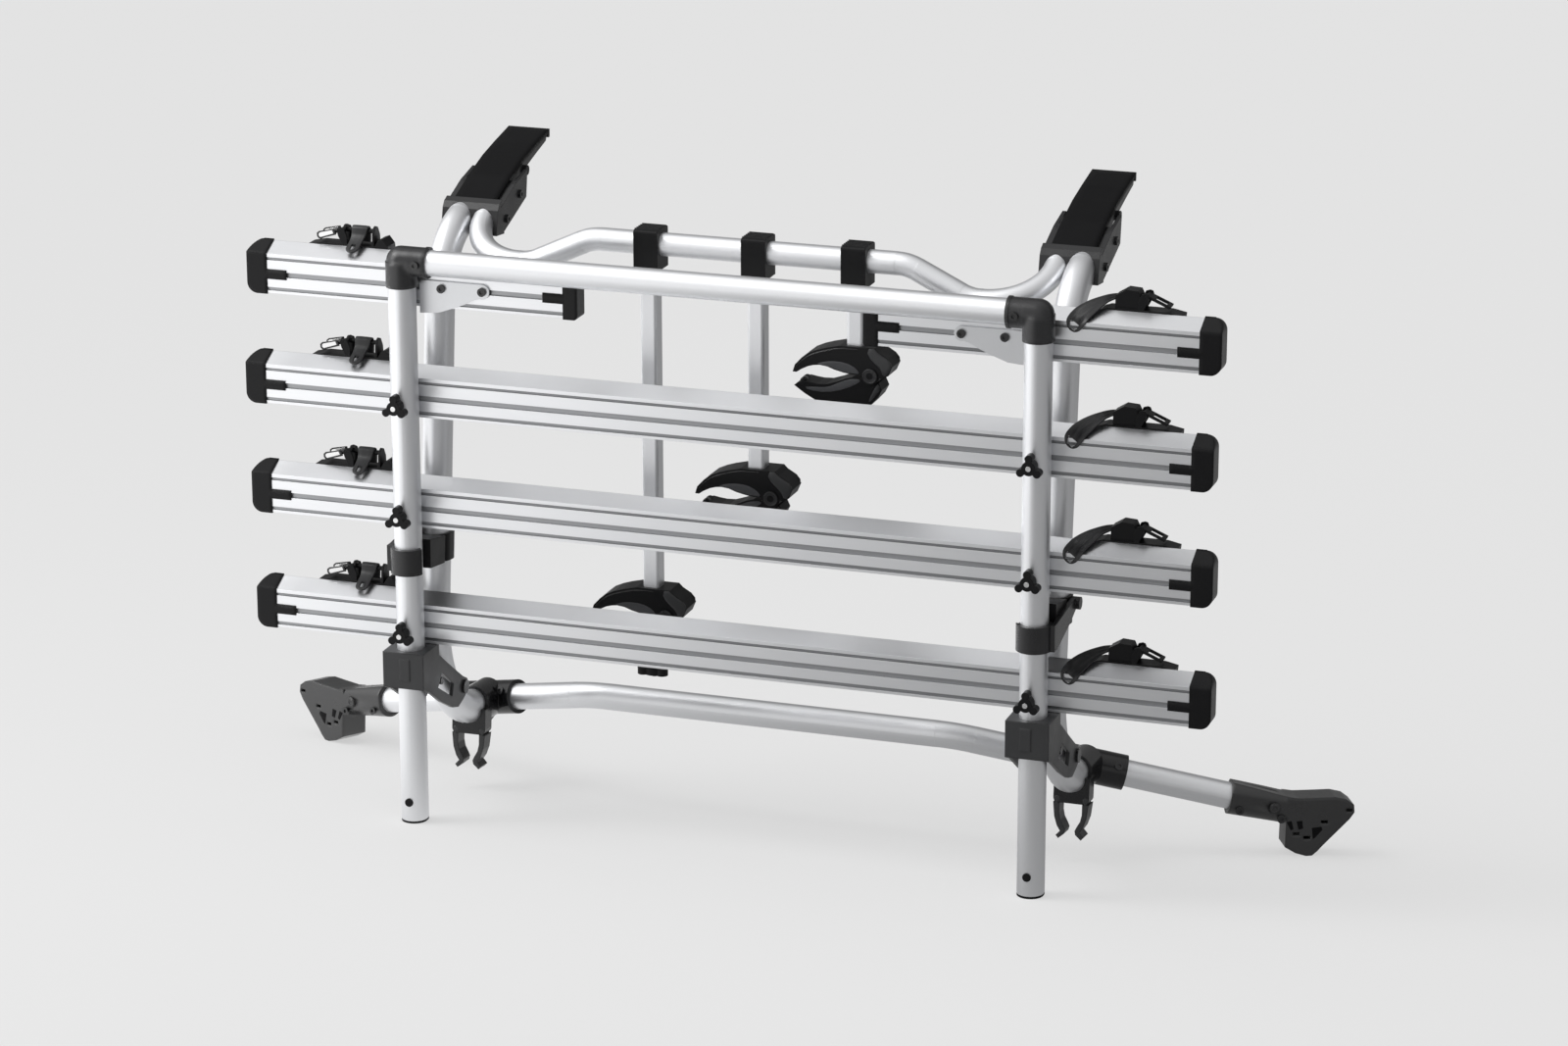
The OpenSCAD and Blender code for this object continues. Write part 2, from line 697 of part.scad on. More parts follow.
// One cast bracket: sleeve on the bar, socket for the post and crown of the leg clip.
module bar_bracket() {
    difference() {
        union() {
            at_bar_end() rod_x(low_r + sleeve_t, low_to_leg - sleeve_half, low_to_leg + sleeve_half);
            translate([leg_x, 0, low_run_z]) rotate([-90, 0, 0]) translate([0, 0, socket_y])
                linear_extrude(low_y + post_reach - socket_y)
                oval(post_w + 2 * socket_t, post_d + 2 * socket_t);
            front_slab(clip_y, clip_t) translate([leg_x, 0]) difference() {
                translate([-clip_half, clip_z]) square([2 * clip_half, low_run_z - clip_z]);
                for (s = [-1, 1]) translate([s * clip_px, clip_pz]) circle(clip_root + run_gap);
                for (s = [-1, 1])
                    translate([s * (clip_px - clip_room + clip_cut / 2), clip_pz - clip_cut / 2])
                    square(clip_cut, center = true);
            }
            translate([leg_x - clip_half / 2, 0, 0]) side_slab(0, clip_half)
                polygon([[clip_y + clip_t, clip_z], [clip_y + clip_t, low_run_z],
                    [low_y + post_reach, low_run_z], [low_y + post_reach, low_run_z - post_d / 2]]);
        }
        translate([leg_x, 0, 0]) post_low(post_w + 2 * seat_gap, post_d + 2 * seat_gap, seat_gap);
        at_bar_end() rod_x(low_r + seat_gap, 0, low_end);
        at_bar_end() for (s = [-1, 1]) translate([low_to_leg + s * sleeve_screw, -low_r - sleeve_t, 0]) {
            rod_y(shank_r + seat_gap, -eps, sleeve_t);
            rod_y(head_r + seat_gap, -head_h * 4, -seat_gap);
        }
    }
}

module bar_brackets() color("black") frame_side() both() bar_bracket();

module hinge_pins() color("dimgray") frame_side() both() translate([leg_x, pivot_y, pivot_z]) {
    rod_x(pin_r, -hb_half - seat_gap, hb_half + seat_gap);
    for (s = [0, 1]) mirror([s, 0, 0]) {
        rod_x(pin_head_r, hb_half + run_gap, hb_half + pin_head_h);
        rod_x(pin_head_r, post_w / 2 + seat_gap, hb_half - hb_arm - run_gap);
    }
}

// One clip arm, drawn round the leg's plane, its root at the pivot.
module clip_arm() {
    front_slab(clip_y, clip_t) {
        difference() {
            polygon(clip_side);
            translate([-clip_px, clip_pz]) circle(clip_root * 3 / 2);
            translate([-clip_px + clip_stem, clip_z - clip_lip]) square(clip_cut);
        }
        translate([-clip_px, clip_pz]) circle(clip_root);
        translate([-clip_px - clip_stem, clip_pz - clip_root * 2]) square([2 * clip_stem, clip_root * 2]);
    }
}

module clip_arm_1() color("black") frame_side() translate([-leg_x, 0, 0]) clip_arm();

module clip_arm_2() color("black") frame_side() translate([-leg_x, 0, 0]) mirror([1, 0, 0]) clip_arm();

module clip_arm_3() color("black") frame_side() translate([leg_x, 0, 0]) clip_arm();

module clip_arm_4() color("black") frame_side() translate([leg_x, 0, 0]) mirror([1, 0, 0]) clip_arm();

// Places children at the sleeve's end of the right foot, local X along the foot.
module at_foot() {
    translate([foot_x, foot_y, foot_z]) rotate(foot_turn) children();
}

module feet() color("black") frame_side() both() difference() {
    union() {
        intersection() {
            at_foot() front_slab(-foot_w / 2, foot_w) polygon(foot_side);
            at_foot() rotate([0, foot_pitch, 0]) rod_x(foot_body_r, -foot_w, foot_w * 5);
        }
        at_foot() front_slab(-foot_w / 2, foot_w) intersection() {
            polygon(foot_side);
            translate([foot_heel_x, -foot_w * 3]) square(foot_w * 4);
        }
    }
    at_bar_end() rod_x(low_r + seat_gap, 0, low_end + seat_gap);
    at_foot() for (p = foot_screws_at) translate([p[0], 0, p[1]])
        rod_y(shank_r + seat_gap, -foot_w, -foot_body_y + foot_screw_l + seat_gap);
    // Hollow of the heel, open towards the vehicle.
    at_foot() front_slab(-foot_w / 2 + foot_wall, foot_w - 2 * foot_wall) polygon(foot_hollow);
    at_foot() for (p = foot_slots) translate([p[0], 0, p[1]])
        cube([foot_slot[0], foot_w * 2, foot_slot[1]], center = true);
}

// Block on the post that the leg leans against.
module lock_base() {
    difference() {
        union() {
            translate([-base_half, 0, 0]) side_slab(0, 2 * base_half) polygon(base_side);
            translate([0, post_y, base_z]) linear_extrude(base_h, center = true)
                oval(2 * base_half, post_d + 2 * base_wall);
        }
        post_mid(post_w + 2 * seat_gap, post_d + 2 * seat_gap);
    }
}

module lock_bases() color("black") frame_side() both() translate([leg_x, 0, 0]) lock_base();

// Screws of the frame: hooks, brackets and feet.
module frame_screws() color("dimgray") frame_side() both() {
    for (p = hook_screws) translate([hook_x, p[0], p[1]]) for (s = [-1, 1])
        rotate(s * 90) translate([0, -block_w / 2, 0]) screw(cheek_t - seat_gap);
    at_bar_end() for (s = [-1, 1]) translate([low_to_leg + s * sleeve_screw, -low_r - sleeve_t, 0])
        screw(sleeve_t - seat_gap);
    at_foot() for (p = foot_screws_at) translate([p[0], -foot_body_y, p[1]]) screw(foot_screw_l);
}

// Legs
module legs() color("silver") platform_side() both() difference() {
    translate([leg_x, leg_y, leg_z0]) linear_extrude(leg_z1 - leg_z0) oval_ring(leg_w, leg_d, tube_t);
    translate([leg_x, leg_y, 0]) for (z = star_z) translate([0, 0, z])
        rod_y(bolt_r + seat_gap, -leg_d, leg_d);
    translate([leg_x, leg_y - leg_d, plug_z]) rod_y(shank_r + seat_gap, 0, leg_d);
}

module platform_crossbar() color("silver") platform_side() translate([0, leg_y, cross_z]) difference() {
    rod_x(cross_r, -cross_half, cross_half);
    rod_x(cross_r - tube_t, -cross_half - eps, cross_half + eps);
}

module elbows() color("black") platform_side() both() translate([leg_x, leg_y, 0]) difference() {
    union() {
        translate([0, 0, elbow_z]) linear_extrude(cross_z - elbow_z)
            oval(leg_w + 2 * elbow_t, leg_d + 2 * elbow_t);
        intersection() {
            translate([0, 0, cross_z]) rod_x(cross_out, -elbow_in, cross_out);
            translate([-elbow_in, -leg_d, cross_z - 2 * leg_d]) cube([elbow_in, 2 * leg_d, 4 * leg_d]);
        }
        translate([0, 0, cross_z]) sphere(cross_out);
        translate([0, 0, cross_z]) rod_x(cross_out + elbow_bead, -elbow_in, -elbow_in + elbow_lip);
    }
    translate([0, 0, elbow_z - eps]) linear_extrude(leg_z1 - elbow_z + seat_gap)
        oval(leg_w + 2 * seat_gap, leg_d + 2 * seat_gap);
    translate([-leg_x, 0, cross_z]) rod_x(cross_r + seat_gap, 0, cross_half + seat_gap);
    translate([-elbow_screw, 0, cross_z]) rod_y(shank_r + seat_gap, -leg_d, 0);
    // The back stops short of the rail's front face.
    translate([-elbow_in, leg_d / 2 - elbow_trim, elbow_z - eps])
        cube([2 * elbow_in, leg_d, cross_z - elbow_z + eps]);
}

// Foot caps and small front plugs of the legs.
module leg_caps() color("black") platform_side() both() {
    translate([leg_x, leg_y, leg_z0 - cap_flange]) linear_extrude(cap_flange - seat_gap) oval(leg_w, leg_d);
    translate([leg_x, leg_y, leg_z0 - seat_gap - eps]) linear_extrude(cap_plug)
        oval_ring(leg_w - 2 * tube_t - 2 * seat_gap, leg_d - 2 * tube_t - 2 * seat_gap, tube_t);
    translate([leg_x, leg_y - leg_d / 2, plug_z]) {
        rod_y(plug_r, -plug_h, -seat_gap);
        rod_y(shank_r, -eps - seat_gap, shank_l);
    }
}

module hinge_bracket() {
    difference() {
        union() {
            for (s = [0, 1]) translate([-hb_half + s * (2 * hb_half - hb_arm), 0, 0])
                side_slab(0, hb_arm) difference() {
                    polygon(arm_side);
                    polygon(arm_window);
                }
            translate([-hb_half + hb_edge, hb_front, hb_low])
                cube([2 * (hb_half - hb_edge), hb_back - hb_front, hb_top - hb_low]);
            translate([-hb_half, hb_front + hb_edge, hb_low])
                cube([2 * hb_half, hb_back - hb_front - hb_edge, hb_top - hb_low]);
            for (s = [-1, 1]) translate([s * (hb_half - hb_edge), hb_front + hb_edge, hb_low])
                cylinder(r = hb_edge, h = hb_top - hb_low);
            translate([panel_x - panel[0] / 2, hb_front - panel[2], panel_z - panel[1] / 2])
                cube([panel[0], 2 * panel[2], panel[1]]);
            for (s = [0, 1]) mirror([s, 0, 0]) translate([hb_half - hb_arm, hinge_y, hinge_z])
                rod_x(arm_end_r, 0, hb_arm);
        }
        translate([0, leg_y, hb_low - leg_d]) linear_extrude(4 * leg_d)
            oval(leg_w + 2 * seat_gap, leg_d + 2 * seat_gap);
        translate([0, hinge_y, hinge_z]) rod_x(pin_r + run_gap, -2 * hb_half, 2 * hb_half);
        translate([0, win_y, win_z]) rod_x(win_bolt_r + seat_gap, -2 * hb_half, 2 * hb_half);
    }
}

module hinge_brackets() color("dimgray") platform_side() both() translate([leg_x, 0, 0]) hinge_bracket();

// Screws and bolts of the platform: elbows, gussets and hinge brackets.
module platform_screws() color("black") platform_side() both() {
    translate([leg_x - elbow_screw, leg_y - cross_out, cross_z]) screw(elbow_t - seat_gap);
    for (d = [gusset_b1, gusset_b2])
        translate([leg_x - d, rail_y - gusset_t - seat_gap, rail_z[0] - slot_z + gusset_up]) screw(shank_l);
    translate([leg_x, win_y, win_z]) rod_x(win_bolt_r, -hb_half + seat_gap, hb_half - seat_gap);
}

module gussets() color("silver") platform_side() both()
    front_slab(rail_y - gusset_t - seat_gap, gusset_t) translate([leg_x, 0]) difference() {
        union() {
            polygon([for (p = gusset_side) [-p[0], p[1]]]);
            translate([-gusset_b2, gusset_z]) circle(gusset_r);
        }
        for (d = [gusset_b1, gusset_b2]) translate([-d, gusset_z]) circle(shank_r + seat_gap);
    }

// Rail section: depth along x, height above groove 1 along y.
module rail_outline(over = 0) {
    polygon([[rail_back + over, rail_top + over * slope_k + over], [rail_y - over, rail_slant + over],
        [rail_y - over, -rail_low - over], [rail_back + over, -rail_low - over]]);
}

module rail_section() {
    difference() {
        union() {
            difference() {
                rail_outline();
                polygon([[rail_back + rail_t, rail_top - rail_t + slope_k * rail_t - rail_wall_k],
                    [slot_face, rail_slant - rail_wall_k + slope_k * rail_t],
                    [slot_face, -rail_low + rail_t], [rail_back + rail_t, -rail_low + rail_t]]);
            }
            translate([rail_y + eps, -slot_z - slot_w / 2 - rail_t])
                square([slot_d + 2 * rail_t, slot_w + 2 * rail_t]);
            translate([slot_face - eps, -groove1_w]) square([groove_d, 2 * groove1_w]);
            translate([slot_face - eps, -groove2_z - groove2_w]) square([groove_d, 2 * groove2_w]);
            translate([rail_back - rail_t, -rail_low]) square([rail_t, rail_lip + rail_t]);
            translate([rail_back - rail_t, rail_top - rail_t - rail_lip]) square([rail_t, rail_lip]);
        }
        translate([slot_face, -slot_z - slot_w / 2]) square([slot_d, slot_w]);
        translate([rail_y - eps, -slot_z - slot_mouth / 2]) square([rail_t + 2 * eps, slot_mouth]);
        translate([rail_y - eps, -groove1_w / 2]) square([groove_d, groove1_w]);
        translate([rail_y - eps, -groove2_z - groove2_w / 2]) square([groove_d, groove2_w]);
    }
}

module rail(i, x0, x1) {
    translate([0, 0, rail_z[i]]) side_slab(x0, x1 - x0) rail_section();
}

module upper_rails() color("silver") platform_side() both() rail(0, rail_in, rail_half);

module long_rails() color("silver") platform_side() for (i = [1, 2, 3])
    rail(i, -rail_half + rail_shift[i], rail_half + rail_shift[i]);

// A rail cap, its seat at x = 0, standing out towards +X.
module rail_cap(l, tongue, corner) {
    intersection() {
        side_slab(seat_gap, l) rail_outline(cap_over);
        front_slab(0, rail_back * 2) {
            translate([0, -rail_low * 2]) square([l - corner, rail_low * 4]);
            translate([0, -rail_low - cap_over + corner])
                square([l, rail_low + rail_top - 2 * corner + 2 * cap_over]);
            translate([l - corner, -rail_low - cap_over + corner]) circle(corner);
            translate([l - corner, rail_top + cap_over - corner]) circle(corner);
        }
    }
    difference() {
        side_slab(-cap_sleeve, cap_sleeve + 2 * seat_gap) rail_outline(cap_over);
        side_slab(-cap_sleeve - eps, cap_sleeve + seat_gap + eps) rail_outline(seat_gap);
    }
    translate([-tongue, rail_y - tongue_t - seat_gap, -slot_z - tongue_w / 2])
        cube([tongue + seat_gap * 2, tongue_t, tongue_w]);
    translate([-tongue, rail_y - seat_gap - eps, -slot_z - slot_mouth / 2 + seat_gap])
        cube([tongue, rail_t, slot_mouth - 2 * seat_gap]);
}

module outer_caps() color("black") platform_side() for (i = [0, 1, 2, 3]) for (s = [0, 1])
    mirror([s, 0, 0]) translate([rail_half + (1 - 2 * s) * rail_shift[i], 0, rail_z[i]])
        rail_cap(cap_l, tongue_l, cap_round);

module inner_caps() color("black") platform_side() both() translate([rail_in, 0, rail_z[0]])
    mirror([1, 0, 0]) rail_cap(incap_l, tongue_l, cap_round / 3);

// Bolts of the star knobs with their nuts in the rails' slots.
module knob_bolts() color("silver") platform_side() both() for (z = star_z)
    translate([leg_x, 0, z]) {
        rod_y(bolt_r, star_front - bolt_end, slot_face + bolt_r);
        translate([-nut_w / 2, slot_face + seat_gap, -nut_w / 2]) cube([nut_w, nut_t, nut_w]);
    }

module star_knob(side, i) {
    platform_side() translate([side * leg_x, 0, star_z[i]]) difference() {
        union() {
            front_slab(star_front, star_h) {
                circle(star_mid_r);
                for (a = [90, 210, 330]) rotate(a) {
                    translate([star_reach, 0]) circle(star_arm_r);
                    translate([0, -star_arm_r * 4 / 5]) square([star_reach, star_arm_r * 8 / 5]);
                }
            }
            rod_y(star_neck_r, star_front + star_h - eps, leg_y - leg_d / 2 - run_gap);
        }
        rod_y(bolt_r + run_gap, star_front - eps, 0);
    }
}

module star_knob_1() color("black") star_knob(-1, 0);

module star_knob_2() color("black") star_knob(1, 0);

module star_knob_3() color("black") star_knob(-1, 1);

module star_knob_4() color("black") star_knob(1, 1);

module star_knob_5() color("black") star_knob(-1, 2);

module star_knob_6() color("black") star_knob(1, 2);

// Lock: band round the leg's front, lever along its outer side with an eye at the post.
module lock_hook(z) {
    translate([leg_x, leg_y - lock_dy, z]) {
        linear_extrude(lock_h, center = true) difference() {
            union() {
                circle(lock_in + lock_t);
                square([lock_out, lock_dy * 4]);
            }
            circle(lock_in);
            translate([-lock_in * 2, 0]) square([lock_in * 3, lock_in * 3]);
            translate([-lock_in * 2, -lock_in / 3]) square([lock_in, lock_in * 2]);
            translate([-lock_in, 0]) square([lock_in * 2, lock_dy * 8]);
        }
        translate([base_half + run_gap, 0, 0]) side_slab(0, lock_lever_t) polygon(lever_side);
        translate([base_half + run_gap, lock_tip[0], lock_tip[1]]) rod_x(lock_eye, 0, lock_lever_t + lock_t);
    }
}

module lock_hook_left() color("black") platform_side() mirror([1, 0, 0]) lock_hook(lock_z[0]);

module lock_hook_right() color("black") platform_side() lock_hook(lock_z[1]);

// A buckle's base on the rail's top edge, its lever towards -X.
module buckle_base() {
    front_slab(rail_back + seat_gap, base_deep) polygon(base_side_b);
    for (y = [lever_y - lug_y, lever_y + lug_y - lug_t]) front_slab(y, lug_t) difference() {
        polygon(lug_side);
        translate([lever_x, lever_z]) circle(lever_pin + run_gap);
    }
}

// Raised end, ears and roller that carry the short strap.
module buckle_ears() {
    front_slab(rail_back + seat_gap, base_deep) polygon(hump_side);
    for (x = [ear_x - cheek_in - cheek_w, ear_x + cheek_in]) side_slab(x, cheek_w) polygon(ear_side);
    translate([ear_x, lever_y, lever_z]) rod_x(ear_pin, -cheek_in - eps, cheek_in + eps);
}

// Housing that grips the long strap.
module buckle_housing() {
    front_slab(rail_back + cheek_w, base_deep - cheek_w) polygon(housing_side);
}

module at_buckle(i, side) {
    translate([buckle_x[side], 0, rail_z[i]]) mirror([side, 0, 0]) children();
}

module buckle_bases() color("black") platform_side() for (i = [0, 1, 2, 3]) {
    for (s = [0, 1]) at_buckle(i, s) buckle_base();
    at_buckle(i, 0) buckle_ears();
    at_buckle(i, 1) buckle_housing();
}

// Short strap end of the left buckles: round the roller, then over the slanted face.
module strap_short() {
    difference() {
        side_slab(ear_x - tongue_half, 2 * tongue_half) {
            translate([lever_y, lever_z]) difference() {
                circle(ear_pin + soft_gap + strap_t);
                circle(ear_pin + soft_gap);
                translate([-ear_pin * 4, -ear_pin * 8]) square(ear_pin * 8);
            }
            polygon(tongue_side);
        }
        translate([ear_x, tongue_hole_y, 0]) cylinder(r = tongue_hole_r, h = lever_z);
    }
}

// Long strap end of the right buckles, a ribbon between its upper and lower edges.
module strap_long() {
    for (k = [0 : len(tail_up) - 2]) {
        hull() for (p = [tail_up[k], tail_low[k], tail_up[k + 1]])
            translate(p) cube(tail_t, center = true);
        hull() for (p = [tail_low[k], tail_up[k + 1], tail_low[k + 1]])
            translate(p) cube(tail_t, center = true);
    }
}

module wheel_straps() color("black") platform_side() for (i = [0, 1, 2, 3]) {
    at_buckle(i, 0) strap_short();
    at_buckle(i, 1) strap_long();
}

// A buckle's lever: frame on a pin between the base's lugs.
module buckle_lever(i, side) {
    platform_side() at_buckle(i, side) translate([lever_x, lever_y, lever_z]) rotate([0, -lever_tilt, 0]) {
        rod_y(lever_pin, -lug_y, lug_y);
        rod_y(lever_t * 3 / 4, -lug_y + lug_t + run_gap, lug_y - lug_t - run_gap);
        difference() {
            translate([-lever_l, -lug_y + lug_t + run_gap, -lever_t / 2])
                cube([lever_l, 2 * (lug_y - lug_t - run_gap), lever_t]);
            translate([-lever_l * 5 / 6, -lug_y / 2, -lever_t]) cube([lever_l / 2, lug_y, 2 * lever_t]);
        }
    }
}

module buckle_lever_1() color("black") buckle_lever(0, 0);

module buckle_lever_2() color("black") buckle_lever(0, 1);

module buckle_lever_3() color("black") buckle_lever(1, 0);

module buckle_lever_4() color("black") buckle_lever(1, 1);

module buckle_lever_5() color("black") buckle_lever(2, 0);

module buckle_lever_6() color("black") buckle_lever(2, 1);

module buckle_lever_7() color("black") buckle_lever(3, 0);

module buckle_lever_8() color("black") buckle_lever(3, 1);

// Places children on arm i: origin on the crossbar's axis, the arm hanging down along -Z.
module on_arm(i) {
    frame_side() translate([arm_x[i], post_y, bar_z]) rotate([pivot_lean, 0, 0]) children();
}

module on_jaw(i) {
    on_arm(i) translate([0, 0, -arm_l[i]]) children();
}

module arm(i) {
    on_arm(i) translate([0, 0, -arm_l[i] - arm_plug]) linear_extrude(arm_l[i] + arm_plug - arm_top)
        difference() {
            rounded(arm_w, arm_d, arm_r);
            rounded(arm_w - 2 * tube_t, arm_d - 2 * tube_t, arm_r - tube_t);
        }
}

module arm_1() color("silver") arm(0);

module arm_2() color("silver") arm(1);

module arm_3() color("silver") arm(2);

// Clamp on the crossbar.
module clamp() {
    difference() {
        union() {
            side_slab(-clamp_w / 2, clamp_w) {
                translate([-clamp_d / 2, -clamp_low]) square([clamp_d, clamp_low + clamp_up - clamp_edge]);
                translate([-clamp_d / 2 + clamp_edge, 0]) square([clamp_d - 2 * clamp_edge, clamp_up]);
                for (s = [-1, 1]) translate([s * (clamp_d / 2 - clamp_edge), clamp_up - clamp_edge])
                    circle(clamp_edge);
            }
            for (k = [-2 : 2]) translate([-clamp_w / 2, k * clamp_d / 6, clamp_up - eps])
                rod_x(clamp_rib, 0, clamp_w);
        }
        rod_x(bar_r + run_gap, -clamp_w, clamp_w);
        translate([0, 0, -clamp_low - eps]) linear_extrude(clamp_low - arm_top + seat_gap + eps)
            rounded(arm_w + 2 * seat_gap, arm_d + 2 * seat_gap, arm_r);
    }
}

module upper_jaw() {
    difference() {
        union() {
            front_slab(-jaw_half, 2 * jaw_half) polygon(jaw_up_side);
            for (s = [0, 1]) mirror([0, s, 0]) {
                translate([boss[0], 0, boss[1]]) rod_y(boss_r, lug_half + run_gap, jaw_half);
                translate([boss[0], 0, boss[1]]) rod_y(boss_r * 3 / 4, jaw_half - eps, jaw_half + jaw_head);
            }
            translate([boss[0], 0, boss[1]]) rod_y(jaw_pin_r, -jaw_half, jaw_half);
        }
        translate([0, 0, -arm_plug - seat_gap]) linear_extrude(arm_plug + eps + seat_gap)
            rounded(arm_w + 2 * seat_gap, arm_d + 2 * seat_gap, arm_r);
        difference() {
            translate([boss[0], 0, boss[1]])
                rod_y(boss_r + lug_room, -lug_half - run_gap, lug_half + run_gap);
            translate([boss[0], 0, boss[1]]) rod_y(jaw_pin_r, -jaw_half, jaw_half);
        }
    }
}

module holder(i) {
    on_arm(i) clamp();
    on_jaw(i) upper_jaw();
}

module holder_1() color("black") holder(0);

module holder_2() color("black") holder(1);

module holder_3() color("black") holder(2);

// Lower jaw, hinged at the boss.
module lower_jaw() {
    difference() {
        union() {
            difference() {
                front_slab(-jaw_low_half, 2 * jaw_low_half) polygon(jaw_low_side);
                translate([boss[0], 0, boss[1]]) rod_y(boss_r + lug_room, -jaw_half, jaw_half);
            }
            intersection() {
                front_slab(-lug_half, 2 * lug_half) {
                    polygon(jaw_low_side);
                    translate(boss) circle(boss_r);
                }
                front_slab(-lug_half, 2 * lug_half) union() {
                    translate(boss) circle(boss_r * 2);
                    translate([boss[0], boss[1] * 2]) circle(boss_r * 2);
                }
            }
        }
        translate([boss[0], 0, boss[1]]) rod_y(jaw_pin_r + run_gap, -jaw_half, jaw_half);
        translate([0, 0, jaw_bottom * 2]) cylinder(r = jk_bolt + run_gap, h = -jaw_bottom * 2);
    }
}

module jaw_1() color("black") on_jaw(0) lower_jaw();

module jaw_2() color("black") on_jaw(1) lower_jaw();

module jaw_3() color("black") on_jaw(2) lower_jaw();

// Tightening knob below a lower jaw, its bolt reaching up through the jaw.
module jaw_knob(i) {
    on_jaw(i) {
        translate([0, 0, jk_z - jk_h]) linear_extrude(jk_h) {
            circle(jk_reach);
            for (a = [90, 210, 330]) rotate(a) translate([jk_reach, 0]) circle(jk_lobe);
        }
        translate([0, 0, jk_z - jk_h - jk_stub_h]) cylinder(r = jk_stub, h = jk_stub_h + eps);
        translate([0, 0, jk_z - eps]) cylinder(r = jk_neck, h = jaw_bottom - jk_z - run_gap);
        translate([0, 0, jk_z]) cylinder(r = jk_bolt, h = boss[1] - jk_room - jk_z);
    }
}

module jaw_knob_1() color("black") jaw_knob(0);

module jaw_knob_2() color("black") jaw_knob(1);

module jaw_knob_3() color("black") jaw_knob(2);

posts();
upper_crossbar();
hook_plates();
hook_blocks();
hook_rollers();
lower_bar();
bar_brackets();
hinge_pins();
feet();
lock_bases();
frame_screws();
clip_arm_1();
clip_arm_2();
clip_arm_3();
clip_arm_4();
legs();
platform_crossbar();
elbows();
leg_caps();
hinge_brackets();
platform_screws();
gussets();
upper_rails();
long_rails();
outer_caps();
inner_caps();
knob_bolts();
buckle_bases();
wheel_straps();
lock_hook_left();
lock_hook_right();
star_knob_1();
star_knob_2();
star_knob_3();
star_knob_4();
star_knob_5();
star_knob_6();
buckle_lever_1();
buckle_lever_2();
buckle_lever_3();
buckle_lever_4();
buckle_lever_5();
buckle_lever_6();
buckle_lever_7();
buckle_lever_8();
arm_1();
arm_2();
arm_3();
holder_1();
holder_2();
holder_3();
jaw_1();
jaw_2();
jaw_3();
jaw_knob_1();
jaw_knob_2();
jaw_knob_3();
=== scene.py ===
import bpy
import math
from mathutils import Matrix, Vector


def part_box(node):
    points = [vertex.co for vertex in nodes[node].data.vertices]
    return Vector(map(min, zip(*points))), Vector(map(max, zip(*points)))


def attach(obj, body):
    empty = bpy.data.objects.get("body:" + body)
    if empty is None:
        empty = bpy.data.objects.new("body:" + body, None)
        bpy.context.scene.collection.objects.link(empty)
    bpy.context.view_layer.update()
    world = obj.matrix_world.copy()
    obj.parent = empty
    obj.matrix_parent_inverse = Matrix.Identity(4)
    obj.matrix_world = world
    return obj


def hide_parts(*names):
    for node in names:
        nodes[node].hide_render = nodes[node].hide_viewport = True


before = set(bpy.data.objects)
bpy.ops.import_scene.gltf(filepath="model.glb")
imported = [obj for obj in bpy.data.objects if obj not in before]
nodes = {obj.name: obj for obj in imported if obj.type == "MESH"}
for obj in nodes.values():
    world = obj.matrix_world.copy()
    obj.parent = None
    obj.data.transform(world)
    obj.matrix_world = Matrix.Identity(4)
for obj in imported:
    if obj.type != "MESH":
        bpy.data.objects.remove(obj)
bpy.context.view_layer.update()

MM = 0.001
# Where the part's own millimetres start, and how far its two frames lean.
REF_Y = -193.0036
REF_Z = -143.0515
PLATFORM_LEAN = math.radians(6.5)
FRAME_LEAN = math.radians(0.93)
FLOOR_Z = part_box("feet")[0].z

scene = bpy.context.scene
scene.view_settings.view_transform = "Standard"


def tilted(y, z, lean):
    """Turns a point about X."""
    c, s = math.cos(lean), math.sin(lean)
    return y * c - z * s, y * s + z * c


def leaned(x, y, z, lean):
    """From millimetres in a leaning frame to metres in the shared one."""
    y, z = tilted(y, z, lean)
    return Vector((x, y + REF_Y, z + REF_Z)) * MM


def on_platform(x, y, z):
    return leaned(x, y, z, PLATFORM_LEAN)


def on_frame(x, y, z):
    return leaned(x, y, z, FRAME_LEAN)


# ---- camera: fitted to the photograph's straight and parallel edges ----
CAM_AT = Vector((1.9386, -5.8524, 1.4695))
CAM_BACK = Vector((0.3073, -0.9319, 0.1932)).normalized()
CAM_UP = Vector((-0.0957, 0.1716, 0.9805))
CAM_FAR = 200.0
FOCAL_PX = 4950.5
IMAGE_W = 1600
SENSOR = 36.0
ROLL = math.radians(-0.09)


def make_camera():
    data = bpy.data.cameras.new("camera")
    data.sensor_width = SENSOR
    data.sensor_fit = "HORIZONTAL"
    data.lens = FOCAL_PX * SENSOR / IMAGE_W
    data.clip_end = CAM_FAR
    right = CAM_UP.cross(CAM_BACK).normalized()
    up = CAM_BACK.cross(right).normalized()
    turn = Matrix((right, up, CAM_BACK)).transposed() @ Matrix.Rotation(ROLL, 3, "Z")
    cam = bpy.data.objects.new("camera", data)
    cam.matrix_world = Matrix.Translation(CAM_AT) @ turn.to_4x4()
    scene.collection.objects.link(cam)
    scene.camera = cam


make_camera()


# ---- materials ----
IOR = 1.5
NOISE_ROUGH = 0.55
NOISE_SPAN = (0.3, 0.7)
FINE, BROAD = 2, 4
# What share of open sky counts as fully shaded, and as open, where shade is painted into a metal's colour in its
# recesses.
SKY_SPAN = (0.45, 0.92)
SKY_SAMPLES = 6
EDGE_SAMPLES = 4


